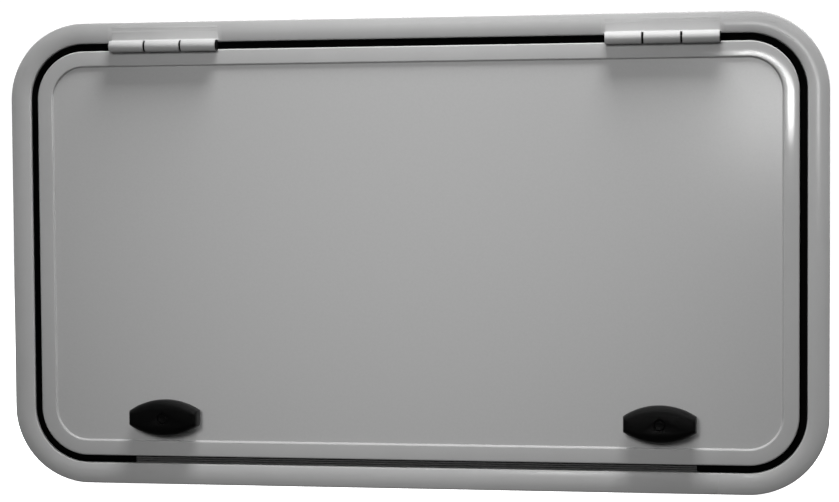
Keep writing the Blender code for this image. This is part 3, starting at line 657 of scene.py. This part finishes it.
def build_panel():
    """The flat panel: its outline carried through a small edge round, and holes for the bushes."""
    section = (
        (PANEL_INSET, PANEL_BOTTOM), (PANEL_INSET, PANEL_TOP - PANEL_EDGE),
        (PANEL_INSET + PANEL_EDGE, PANEL_TOP),
    )
    shape = bmesh.new()
    loops = []
    for inset, height in section:
        loop = []
        for centre, (along_x, along_y), depth in hatch_stations():
            if depth == 0.0:
                reach = CORNER_RADIUS - inset
                point = (centre[0] + along_x * reach, centre[1] + along_y * reach)
                loop.append(shape.verts.new(to_world(*point, height)))
        loops.append(loop)
    bridge(shape, loops, closed=False)
    piece = from_bmesh("lid_skin", shape, PANEL_COAT)
    tools = []
    for place in LATCHES.values():
        start = to_world(place.x, place.z, PANEL_BOTTOM - OVERCUT)
        end = to_world(place.x, place.z, PANEL_TOP + OVERCUT)
        tools.append(rod(start, end, PANEL_HOLE_RADIUS, 48))
    cut(piece, tools)
    stand_for(piece, "lid_panel")


def build_sealant():
    """The fillet of sealant that joins the rim's lip to the panel."""
    size = SEALANT_SIZE
    wall = RIM_INNER_INSET
    bottom = PANEL_TOP + SEALANT_SKIN
    top = RIM_TOP - RIM_LIP - SEALANT_SKIN
    centre = (wall + size, PANEL_TOP + size)
    section = [(wall - SEALANT_LAP, bottom), (wall - SEALANT_LAP, top), (wall, top)]
    section += arc(centre, size, 185.0, 268.0, 6)
    section += [(wall + size + 0.0001, bottom)]
    piece = ring("sealant_fillet", section, PANEL_COAT)
    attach(piece, "lid")


# ---------------------------------------------------------------- hinges


BARREL_RADIUS = 0.0050
KNUCKLE_GAP = 0.0018
KNUCKLE_ROOM = 0.0005
FOOT_TOE_INSET = 0.0046
FOOT_TOE = 0.00012
FOOT_THICKNESS = 0.00080
FOOT_FILLET = 0.0015
FOOT_LIFT = 0.00005
FOOT_FLARE = 0.0042
FLARE_OVERLAP = 0.0004
FLARE_DEPTH = 0.0002
LEAF_THICKNESS = 0.0023
HINGE_EDGE = 0.00032
PIN_HOLE_RADIUS = 0.0023
PIN_HOLE_WALL = 0.003
BUSH_RADIUS = 0.0030
BUSH_HOLE_RADIUS = 0.0033
BUSH_FLANGE_RADIUS = 0.0047
BUSH_FLANGE = 0.0012
BUSH_EDGE = 0.0003
CAP_EDGE = 0.0004
CAP_DISH = 0.00012
CAP_PLUG_RADIUS = 0.0019


def foot_profile():
    """Over the flat foot from its toe to the barrel's back, as (up, out) points."""
    fillet_up = HINGE_AXIS.z + BARREL_RADIUS + FOOT_FILLET
    fillet_inset = HALF_HEIGHT - fillet_up
    first = bead_height(FOOT_TOE_INSET) + FOOT_TOE
    last = bead_height(fillet_inset) + FOOT_THICKNESS
    points = []
    for step in range(13):
        share = step / 12
        inset = FOOT_TOE_INSET + (fillet_inset - FOOT_TOE_INSET) * share
        points.append((HALF_HEIGHT - inset, first + (last - first) * share))
    fillet = (fillet_up, points[-1][1] + FOOT_FILLET)
    points += arc(fillet, FOOT_FILLET, 270.0, 180.0, 10)[1:]
    return points


def under_foot():
    """Back along the bead under the foot, from the gap's edge to the toe."""
    last_inset = BEAD_WIDTH - BEAD_EDGE_RADIUS
    points = []
    for step in range(13):
        inset = last_inset + (FOOT_TOE_INSET - last_inset) * step / 12
        points.append((HALF_HEIGHT - inset, bead_height(inset) + FOOT_LIFT))
    return points


def build_frame_leaf(name):
    """Two outer knuckles on a foot that fairs into the bead all round."""
    low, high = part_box("hinge_frame_leaf_" + name)
    start, end = low.x, high.x
    centre = (start + end) / 2
    axis = (HINGE_AXIS.z, -HINGE_AXIS.y)
    outline = foot_profile()
    outline += arc(axis, BARREL_RADIUS, 0.0, 315.0, 60)
    neck = HINGE_AXIS.z + BARREL_RADIUS * math.sqrt(0.5)
    outline.append((neck, bead_height(BEAD_WIDTH - BEAD_EDGE_RADIUS) + FOOT_LIFT))
    outline += under_foot()
    piece = extruded("hinge_leaf_" + name, outline, start, end, across_hinge, HINGE_COAT)
    knuckle_low, knuckle_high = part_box("hinge_lid_leaf_" + name)
    reach = (knuckle_high.x - knuckle_low.x) / 2 + KNUCKLE_GAP
    room = rod(
        to_world(centre - reach, *axis), to_world(centre + reach, *axis),
        BARREL_RADIUS + KNUCKLE_ROOM, 72,
    )
    bore_start = to_world(start + PIN_HOLE_WALL, *axis)
    bore = rod(bore_start, to_world(end + OVERCUT, *axis), PIN_HOLE_RADIUS, 32)
    cut(piece, [room, bore])
    edge_bevel(piece, HINGE_EDGE)
    stand_for(piece, "hinge_frame_leaf_" + name)
    for side, edge in ((-1, start), (1, end)):
        build_flare(name, side, edge)


def build_flare(name, side, edge):
    """The paint-filled weld that runs out from a leaf's end on to the bead."""
    shape = bmesh.new()
    loops = []
    steps = 10
    body = foot_profile()
    top_height = -HINGE_AXIS.y - 0.0016
    body = [point for point in body if point[1] < top_height]
    under = [(up, bead_height(HALF_HEIGHT - up) - FLARE_DEPTH) for up, _ in reversed(body)]
    for step in range(steps + 1):
        share = step / steps
        height = 1.0 - math.sqrt(1.0 - (1.0 - share) ** 2)
        x = edge + side * (FOOT_FLARE * share - FLARE_OVERLAP)
        loop = []
        for up, out in body:
            bead = bead_height(HALF_HEIGHT - up)
            loop.append(shape.verts.new(to_world(x, up, bead + (out - bead) * height)))
        for up, out in under:
            loop.append(shape.verts.new(to_world(x, up, out)))
        loops.append(loop)
    bridge(shape, loops, closed=False)
    word = "near" if side < 0 else "far"
    piece = from_bmesh(f"hinge_flare_{name}_{word}", shape, HINGE_COAT)
    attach(piece, "frame")


def build_lid_leaf(name):
    """The middle knuckle and its plate on the lid's outer wall."""
    low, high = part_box("hinge_lid_leaf_" + name)
    axis = (HINGE_AXIS.z, -HINGE_AXIS.y)
    near = HALF_HEIGHT - LID_INSET + GAP
    far = near + LEAF_THICKNESS
    bottom = -high.y
    first = math.degrees(-math.acos((far - axis[0]) / BARREL_RADIUS))
    last = 360.0 - math.degrees(math.acos((near - axis[0]) / BARREL_RADIUS))
    outline = arc(axis, BARREL_RADIUS, first, last, 64)
    outline += [(near, bottom), (far, bottom)]
    piece = extruded("hinge_knuckle_" + name, outline, low.x, high.x, across_hinge, HINGE_COAT)
    start, end = to_world(low.x - OVERCUT, *axis), to_world(high.x + OVERCUT, *axis)
    tools = [rod(start, end, BUSH_HOLE_RADIUS, 40)]
    head, head_length, shank = LEAF_SCREW
    for place in ("inner", "outer"):
        screw_low, screw_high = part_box(f"leaf_screw_{name}_{place}")
        x, y = (screw_low.x + screw_high.x) / 2, (screw_low.y + screw_high.y) / 2
        seat = screw_high.z - head_length - GAP
        tools.append(rod(Vector((x, y, seat)), Vector((x, y, far + OVERCUT)), head + SCREW_ROOM))
        start = Vector((x, y, near - OVERCUT))
        tools.append(rod(start, Vector((x, y, seat + SEAT_OVERLAP)), shank + SCREW_ROOM))
    cut(piece, tools)
    edge_bevel(piece, HINGE_EDGE)
    stand_for(piece, "hinge_lid_leaf_" + name)


def hinge_line(x, flip=1):
    """A matrix whose Z runs along the hinge line from x, towards +X, or -X where flipped."""
    turn = Matrix.Rotation(flip * math.pi / 2, 4, "Y")
    return Matrix.Translation((x, HINGE_AXIS.y, HINGE_AXIS.z)) @ turn


def build_hinge_details(name):
    """The pin's cap and the flanged bushes in the gaps."""
    low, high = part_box("hinge_cap_" + name)
    leaf_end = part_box("hinge_frame_leaf_" + name)[1].x
    cap_top = high.x - leaf_end
    radius = (high.z - low.z) / 2
    dished = cap_top - CAP_DISH
    plug_end = low.x - leaf_end
    profile = [(0.0, cap_top), (0.0016, cap_top), (0.0020, dished), (0.0030, dished)]
    profile += arc((radius - CAP_EDGE, cap_top - CAP_EDGE), CAP_EDGE, 90.0, 0.0, 4)
    profile += [(radius, GAP), (CAP_PLUG_RADIUS, GAP), (CAP_PLUG_RADIUS, plug_end), (0.0, plug_end)]
    cap = turned("pin_cap_" + name, profile, hinge_line(leaf_end), BLACK_PLASTIC)
    stand_for(cap, "hinge_cap_" + name)
    centre = sum(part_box("hinge_lid_leaf_" + name), Vector()).x / 2
    for place in ("inner", "outer"):
        node = f"hinge_bush_{name}_{place}"
        low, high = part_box(node)
        middle = (low.x + high.x) / 2
        flip = 1 if middle > centre else -1
        length = high.x - low.x
        flange = length - BUSH_FLANGE
        profile = (
            (BUSH_FLANGE_RADIUS - BUSH_EDGE, length), (BUSH_FLANGE_RADIUS, length - BUSH_EDGE),
            (BUSH_FLANGE_RADIUS, flange), (BUSH_RADIUS, flange),
            (BUSH_RADIUS, 0.0), (PIN_HOLE_RADIUS, 0.0), (PIN_HOLE_RADIUS, length),
        )
        start = low.x if flip > 0 else high.x
        line = hinge_line(start, flip)
        bush = turned(f"flange_bush_{name}_{place}", profile, line, BUSH_NYLON, closed=True)
        stand_for(bush, node)


# ---------------------------------------------------------------- latches


KNOB_LENGTH = 0.0605
KNOB_WIDTH = 0.0314
KNOB_END = 0.0130
KNOB_CORNER = 0.0012
KNOB_EDGE = 0.00025
KNOB_WELL = (0.0220, 0.0046)  # floor and radius of the cap's well
KNOB_SOCKET = (0.0080, 0.0200, 0.0053)  # mouth, floor and radius of the spindle's socket
KNOB_SCREW_HOLE = (0.0190, 0.0230, 0.0022)  # start, end and radius
KNOB_LEVELS = (  # height, how far the ends draw in, how far the sides draw in
    (0.0094, 0.0030, 0.0026), (0.0097, 0.0026, 0.0022), (0.0118, 0.0010, 0.0010),
    (0.0135, 0.0003, 0.0003), (0.0160, 0.0, 0.0), (0.0200, 0.0, 0.0), (0.0215, 0.0001, 0.0002),
    (0.0232, 0.0002, 0.0008), (0.0246, 0.0004, 0.0019), (0.0257, 0.0007, 0.0033),
    (0.0264, 0.0010, 0.0047), (0.0269, 0.0014, 0.0061), (0.0272, 0.0019, 0.0071),
    (0.0273, 0.0024, 0.0078),
)


def face_frame(place):
    """A matrix at a place on the face whose Z points outward, X across and Y up."""
    return Matrix.Translation(Vector((place.x, 0.0, place.z))) @ Matrix.Rotation(math.pi / 2, 4, "X")


def knob_outline(half_length, half_width, half_end):
    """Bowed long sides between two short straight ends, the corners between them rounded."""
    rise = half_width - half_end
    radius = (half_length**2 + rise**2) / (2 * rise)
    spread = math.degrees(math.asin(half_length / radius))
    upper = arc((0.0, half_width - radius), radius, 90.0 - spread, 90.0 + spread, 36)
    lower = arc((0.0, radius - half_width), radius, 270.0 - spread, 270.0 + spread, 36)
    corners = []
    for bow in (upper, lower):
        corners.append(bow[0] + (KNOB_CORNER,))
        corners += [point + (0.0,) for point in bow[2:-2]]
        corners.append(bow[-1] + (KNOB_CORNER,))
    return softened(corners, steps=4)


def post(centre, first, last, radius, sides):
    """A cutter square to the face, from one height to another."""
    start = to_world(centre.x, centre.z, first)
    return rod(start, to_world(centre.x, centre.z, last), radius, sides)


def build_knob(name):
    """The grip, hollowed for its spindle, screw and cap."""
    place = face_frame(LATCHES[name])
    shape = bmesh.new()
    loops = []
    for height, ends, sides in KNOB_LEVELS:
        half_end = KNOB_END / 2 - sides * 0.35
        outline = knob_outline(KNOB_LENGTH / 2 - ends, KNOB_WIDTH / 2 - sides, half_end)
        loops.append([shape.verts.new(place @ Vector((x, y, height))) for x, y in outline])
    bridge(shape, loops, closed=False)
    piece = from_bmesh("grip_" + name, shape, BLACK_PLASTIC, 50.0)
    centre = LATCHES[name]
    top = KNOB_LEVELS[-1][0]
    floor, radius = KNOB_WELL
    well = post(centre, floor, top + OVERCUT, radius, 48)
    socket = post(centre, *KNOB_SOCKET, 40)
    thread = post(centre, *KNOB_SCREW_HOLE, 24)
    cut(piece, [well, socket, thread], smooth_angle=50.0)
    edge_bevel(piece, KNOB_EDGE, angle=60.0)
    stand_for(piece, "knob_" + name)


def build_knob_cap(name):
    """A shallow dish in the middle of the knob."""
    cap_low, cap_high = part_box("knob_cap_" + name)
    radius = (cap_high.x - cap_low.x) / 2
    top, bottom = -cap_low.y, -cap_high.y
    profile = [(0.0, top - 0.0005), (0.0012, top - 0.00045), (0.0024, top - 0.0003), (0.0032, top)]
    profile += [(0.0036, top), (radius, top - 0.0004), (radius, bottom), (0.0, bottom)]
    cap = turned("grip_cap_" + name, profile, face_frame(LATCHES[name]), BLACK_PLASTIC)
    stand_for(cap, "knob_cap_" + name)


ARM_TOP, ARM_BOTTOM = -0.0126, -0.0192
ARM_ROOT = 0.0105  # half the lever's width at the hub
ARM_END_RADIUS = 0.0070
DOG_ROOT = 0.0040
DOG_HALF_WIDTH = 0.0070
DOG_CORNER = 0.0015
HUB_TOP = -0.0032
HUB_RADIUS = 0.0120
HUB_SOCKET = (-0.0144, -0.0012, 0.0053)  # floor, mouth and radius of the spindle's socket
HUB_SCREW_HOLE = (-0.0170, -0.0140, 0.0022)
HUB_WELL = (-0.0220, -0.0164, 0.0050)  # of the screw's head and the cap
HANDLE_EDGE = 0.0006


def lever_outline(side, reach_in, reach_out):
    """The lever towards the middle of the lid and the square dog on the other side of the hub."""
    dog = DOG_HALF_WIDTH - DOG_CORNER
    outline = [(0.0, -ARM_ROOT)]
    outline += arc((reach_in - ARM_END_RADIUS, 0.0), ARM_END_RADIUS, -90.0, 90.0, 28)
    outline += [(0.0, ARM_ROOT), (-DOG_ROOT, DOG_HALF_WIDTH)]
    outline += arc((-reach_out + DOG_CORNER, dog), DOG_CORNER, 90.0, 180.0, 5)
    outline += arc((-reach_out + DOG_CORNER, -dog), DOG_CORNER, 180.0, 270.0, 5)
    outline += [(-DOG_ROOT, -DOG_HALF_WIDTH)]
    return [(-side * x, y) for x, y in outline]


def build_inner_handle(name, side):
    """Lever, hub and dog in one casting."""
    place = face_frame(LATCHES[name])
    low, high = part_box("inner_handle_" + name)
    reaches = sorted((abs(low.x - LATCHES[name].x), abs(high.x - LATCHES[name].x)))
    outline = lever_outline(side, reaches[1], reaches[0])

    def on_face(x, y, along):
        return place @ Vector((x, y, along))

    piece = extruded("lever_" + name, outline, ARM_BOTTOM, ARM_TOP, on_face, BLACK_PLASTIC)
    centre = LATCHES[name]
    cut(piece, [post(centre, ARM_BOTTOM - 0.0002, HUB_TOP, HUB_RADIUS, 56)], "UNION")
    socket = post(centre, *HUB_SOCKET, 40)
    hole = post(centre, *HUB_SCREW_HOLE, 28)
    well = post(centre, *HUB_WELL, 40)
    cut(piece, [socket, hole, well])
    edge_bevel(piece, HANDLE_EDGE, segments=3)
    stand_for(piece, "inner_handle_" + name)


def build_handle_cap(name):
    """A slightly domed plug over the handle's screw."""
    cap_low, cap_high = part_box("handle_cap_" + name)
    radius = (cap_high.x - cap_low.x) / 2
    inner, outer = -cap_low.y, -cap_high.y
    profile = [(0.0, inner), (radius, inner), (radius, outer + 0.0006)]
    profile += [(radius - 0.0003, outer + 0.0003), (0.0030, outer + 0.0001), (0.0, outer)]
    cap = turned("lever_cap_" + name, profile, face_frame(LATCHES[name]), BLACK_PLASTIC)
    stand_for(cap, "handle_cap_" + name)


NUT_CORNER = 0.0120
NUT_CHAMFERED = 0.0112
NUT_CHAMFER = 0.0007
NUT_HOLE_RADIUS = 0.0083
NUT_SIDES = 96


def build_nut(name):
    """A hexagonal plastic nut with chamfered points."""
    place = face_frame(LATCHES[name])
    low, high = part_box("latch_nut_" + name)
    top, bottom = -low.y, -high.y
    shape = bmesh.new()
    loops = []
    flat = NUT_CORNER * math.cos(math.pi / 6)
    levels = (
        (top, NUT_CHAMFERED), (top - NUT_CHAMFER, NUT_CORNER),
        (bottom + NUT_CHAMFER, NUT_CORNER), (bottom, NUT_CHAMFERED),
    )
    for height, limit in levels:
        loop = []
        for step in range(NUT_SIDES):
            angle = 2.0 * math.pi * step / NUT_SIDES
            hexagon = flat / math.cos(angle % (math.pi / 3) - math.pi / 6)
            reach = min(hexagon, limit)
            point = Vector((reach * math.cos(angle), reach * math.sin(angle), height))
            loop.append(shape.verts.new(place @ point))
        loops.append(loop)
    bridge(shape, loops, closed=False)
    piece = from_bmesh("clamp_nut_" + name, shape, BUSH_NYLON, 25.0)
    hole = post(LATCHES[name], bottom - OVERCUT, top + OVERCUT, NUT_HOLE_RADIUS, 48)
    cut(piece, [hole], smooth_angle=25.0)
    stand_for(piece, "latch_nut_" + name)


KEEPER_CORNER = 0.0020
KEEPER_EDGE = 0.00025
KEEPER_SEAT = 0.0011


def build_keeper(name):
    """The wear plate behind the ledge, with two sunk screws."""
    low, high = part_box("keeper_" + name)
    centre = (low + high) / 2
    half_x, half_z = (high.x - low.x) / 2, (high.z - low.z) / 2
    signs = ((-1, -1), (1, -1), (1, 1), (-1, 1))
    corners = [(sx * half_x, sz * half_z, KEEPER_CORNER) for sx, sz in signs]
    outline = softened(corners, steps=6)

    def on_plate(x, y, along):
        return Vector((centre.x + x, along, centre.z + y))

    piece = extruded("strike_plate_" + name, outline, low.y, high.y, on_plate, STEEL_PLATE)
    head, _, shank = KEEPER_SCREW
    tools = []
    for place in ("inner", "outer"):
        screw_low, screw_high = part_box(f"keeper_screw_{name}_{place}")
        x, z = (screw_low.x + screw_high.x) / 2, (screw_low.z + screw_high.z) / 2
        seat = high.y - KEEPER_SEAT
        mouth = Vector((x, high.y + OVERCUT, z))
        tools.append(rod(Vector((x, seat, z)), mouth, head + SCREW_ROOM))
        start = Vector((x, low.y - OVERCUT, z))
        tools.append(rod(start, Vector((x, seat + SEAT_OVERLAP, z)), shank + SCREW_ROOM))
    cut(piece, tools)
    edge_bevel(piece, KEEPER_EDGE)
    stand_for(piece, "keeper_" + name)


SCREW_EDGE = 0.0003
SOCKET_DEPTH = 0.7  # of the head's length
SOCKET_RADIUS = 0.52  # of the head's radius


def build_screw(node, sizes, outward):
    """A screw with a hexagon socket; outward points out of its head."""
    head_radius, head_length, shank_radius = sizes
    low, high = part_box(node)
    middle = (low + high) / 2
    half = abs((high - low).dot(outward)) / 2
    top = middle + outward * half
    turn = Vector((0.0, 0.0, 1.0)).rotation_difference(outward).to_matrix().to_4x4()
    place = Matrix.Translation(top) @ turn
    length = 2.0 * half
    edge = SCREW_EDGE
    profile = [(0.0, 0.0), (head_radius - edge, 0.0), (head_radius, -edge), (head_radius, -head_length)]
    profile += [(shank_radius, -head_length), (shank_radius, -length + edge)]
    profile += [(shank_radius - edge, -length), (0.0, -length)]
    piece = turned("socket_" + node, profile, place, STEEL, steps=40)
    floor = top - outward * (head_length * SOCKET_DEPTH)
    socket = rod(floor, top + outward * OVERCUT, head_radius * SOCKET_RADIUS, 6)
    cut(piece, [socket], smooth_angle=30.0)
    stand_for(piece, node)


# ---------------------------------------------------------------- stage, lights and camera


FLOOR_UP = FRAME_LOW.z
STAGE_RADIUS = 7.0
STAGE_BEND = 1.6
STAGE_HEIGHT = 6.0
CAMERA_PLACE = Vector((0.2771, -1.6584, 0.0731))
CAMERA_TURNS = (2.417, 9.203, -0.400)  # degrees: pitch, yaw and roll
CAMERA_LENS = 85.0
CAMERA_SHIFT = (0.0, 0.0)
SENSOR = 36.0

# Lights: place, aim, size and power. The stage glows, so that it stays white behind the hatch.
STAGE_GLOW = 1.05
WORLD_BELOW = 0.03
WORLD_ABOVE = 0.07
LAMP = ((0.348, -1.70, 0.176), (0.17, 0.0, 0.0), (0.13, 0.075), 1.25)
OVERHEAD = ((0.20, -0.27, 1.25), (0.20, -0.27, 0.0), (0.60, 0.36), 19.0)
SHEEN = ((0.20, -0.27, 1.25), (0.20, -0.27, 0.0), (0.60, 0.36), 10.0)
POOL = ((-0.15, -2.00, 0.55), (0.0, 0.0, -0.02), (0.30, 34.0), 108.0)
SIDE_FILL = ((2.2, 0.7, 0.5), (0.0, 0.0, 0.0), (1.2, 1.2), 28.0)
BACK = ((-0.8, 1.8, 1.4), (0.0, 0.0, 0.0), (1.6, 1.2), 50.0)


def build_stage():
    """A pale floor that curves up into a pale wall all round and sends no light to the hatch."""
    paper = Surface("stage_paper", 0.85, 0.9)
    paper.vary_colour(paper.noise(3.0, 2.0), 0.004)
    paper.shader.inputs["Emission Color"].default_value = (1.0, 1.0, 1.0, 1.0)
    paper.shader.inputs["Emission Strength"].default_value = STAGE_GLOW
    paper.material.cycles.emission_sampling = "NONE"
    profile = [(0.0, FLOOR_UP), (STAGE_RADIUS - STAGE_BEND, FLOOR_UP)]
    bend = arc((STAGE_RADIUS - STAGE_BEND, FLOOR_UP + STAGE_BEND), STAGE_BEND, 270.0, 360.0, 16)
    profile += bend[1:] + [(STAGE_RADIUS, FLOOR_UP + STAGE_HEIGHT)]
    stage = turned("pale_floor", profile, Matrix.Identity(4), paper.material, steps=96)
    stage.visible_diffuse = False
    stage.visible_glossy = False
    stage.visible_transmission = False
    stage.visible_shadow = False


def area_light(name, place, aim, size, power):
    """A rectangular soft box; size is its width and height."""
    data = bpy.data.lights.new(name, "AREA")
    data.shape = "RECTANGLE"
    data.size, data.size_y = size
    data.energy = power
    light = bpy.data.objects.new(name, data)
    light.location = place
    light.rotation_euler = (Vector(aim) - Vector(place)).to_track_quat("-Z", "Y").to_euler()
    bpy.context.scene.collection.objects.link(light)
    return light


def spot_light(name, place, aim, size, power):
    """A round pool of light that fades towards its rim; size is the lamp's radius and the cone."""
    radius, cone = size
    data = bpy.data.lights.new(name, "SPOT")
    data.shadow_soft_size = radius
    data.spot_size = math.radians(cone)
    data.spot_blend = 1.0
    data.energy = power
    light = bpy.data.objects.new(name, data)
    light.location = place
    light.rotation_euler = (Vector(aim) - Vector(place)).to_track_quat("-Z", "Y").to_euler()
    light.visible_glossy = False
    bpy.context.scene.collection.objects.link(light)


def build_world():
    """Soft ambient light, stronger from above than from below."""
    world = bpy.data.worlds.new("studio")
    bpy.context.scene.world = world
    world.use_nodes = True
    tree = world.node_tree
    tree.nodes.clear()
    coords = tree.nodes.new("ShaderNodeTexCoord")
    split = tree.nodes.new("ShaderNodeSeparateXYZ")
    scaled = tree.nodes.new("ShaderNodeMapRange")
    scaled.inputs["From Min"].default_value = -1.0
    scaled.inputs["From Max"].default_value = 1.0
    scaled.inputs["To Min"].default_value = WORLD_BELOW
    scaled.inputs["To Max"].default_value = WORLD_ABOVE
    sky = tree.nodes.new("ShaderNodeBackground")
    output = tree.nodes.new("ShaderNodeOutputWorld")
    tree.links.new(coords.outputs["Generated"], split.inputs["Vector"])
    tree.links.new(split.outputs["Z"], scaled.inputs["Value"])
    tree.links.new(scaled.outputs["Result"], sky.inputs["Strength"])
    tree.links.new(sky.outputs["Background"], output.inputs["Surface"])


def build_camera():
    pitch, yaw, roll = (math.radians(angle) for angle in CAMERA_TURNS)
    turn = Matrix.Rotation(roll, 3, "Z") @ Matrix.Rotation(pitch, 3, "X") @ Matrix.Rotation(yaw, 3, "Y")
    right, down, ahead = turn
    axes = [Vector((row[0], row[2], -row[1])) for row in (right, -down, -ahead)]
    data = bpy.data.cameras.new("camera")
    data.lens = CAMERA_LENS
    data.sensor_width = SENSOR
    data.shift_x = CAMERA_SHIFT[0]
    data.shift_y = CAMERA_SHIFT[1]
    data.clip_start = 0.01
    camera = bpy.data.objects.new("camera", data)
    camera.matrix_world = Matrix.Translation(CAMERA_PLACE) @ Matrix(axes).transposed().to_4x4()
    bpy.context.scene.collection.objects.link(camera)
    bpy.context.scene.camera = camera


def build_lights():
    area_light("overhead", *OVERHEAD).visible_glossy = False
    area_light("sheen", *SHEEN)
    spot_light("pool", *POOL)
    area_light("lamp", *LAMP)
    area_light("back_fill", *BACK)
    place, aim, size, power = SIDE_FILL
    for name, side in SIDES:
        area_light("fill_" + name, (side * place[0], place[1], place[2]), aim, size, power)


def build_hatch():
    build_base_frame()
    build_frame_seal()
    build_gutter_strip()
    build_lid_frame()
    build_panel()
    build_sealant()
    for name, side in SIDES:
        build_frame_leaf(name)
        build_lid_leaf(name)
        build_hinge_details(name)
        build_knob(name)
        build_knob_cap(name)
        build_inner_handle(name, side)
        build_handle_cap(name)
        build_nut(name)
        build_keeper(name)
        for place in ("inner", "outer"):
            build_screw(f"leaf_screw_{name}_{place}", LEAF_SCREW, Vector((0.0, 0.0, 1.0)))
            build_screw(f"keeper_screw_{name}_{place}", KEEPER_SCREW, Vector((0.0, 1.0, 0.0)))


def finish_nodes():
    """Give every CAD node its slot's full material."""
    for node, piece in NODES.items():
        looks = SLOT_LOOKS[NODE_SLOTS[node]]
        for index in range(len(piece.material_slots)):
            piece.material_slots[index].material = looks


bpy.context.scene.view_settings.view_transform = "Standard"
build_hatch()
finish_nodes()
build_stage()
build_world()
build_lights()
build_camera()
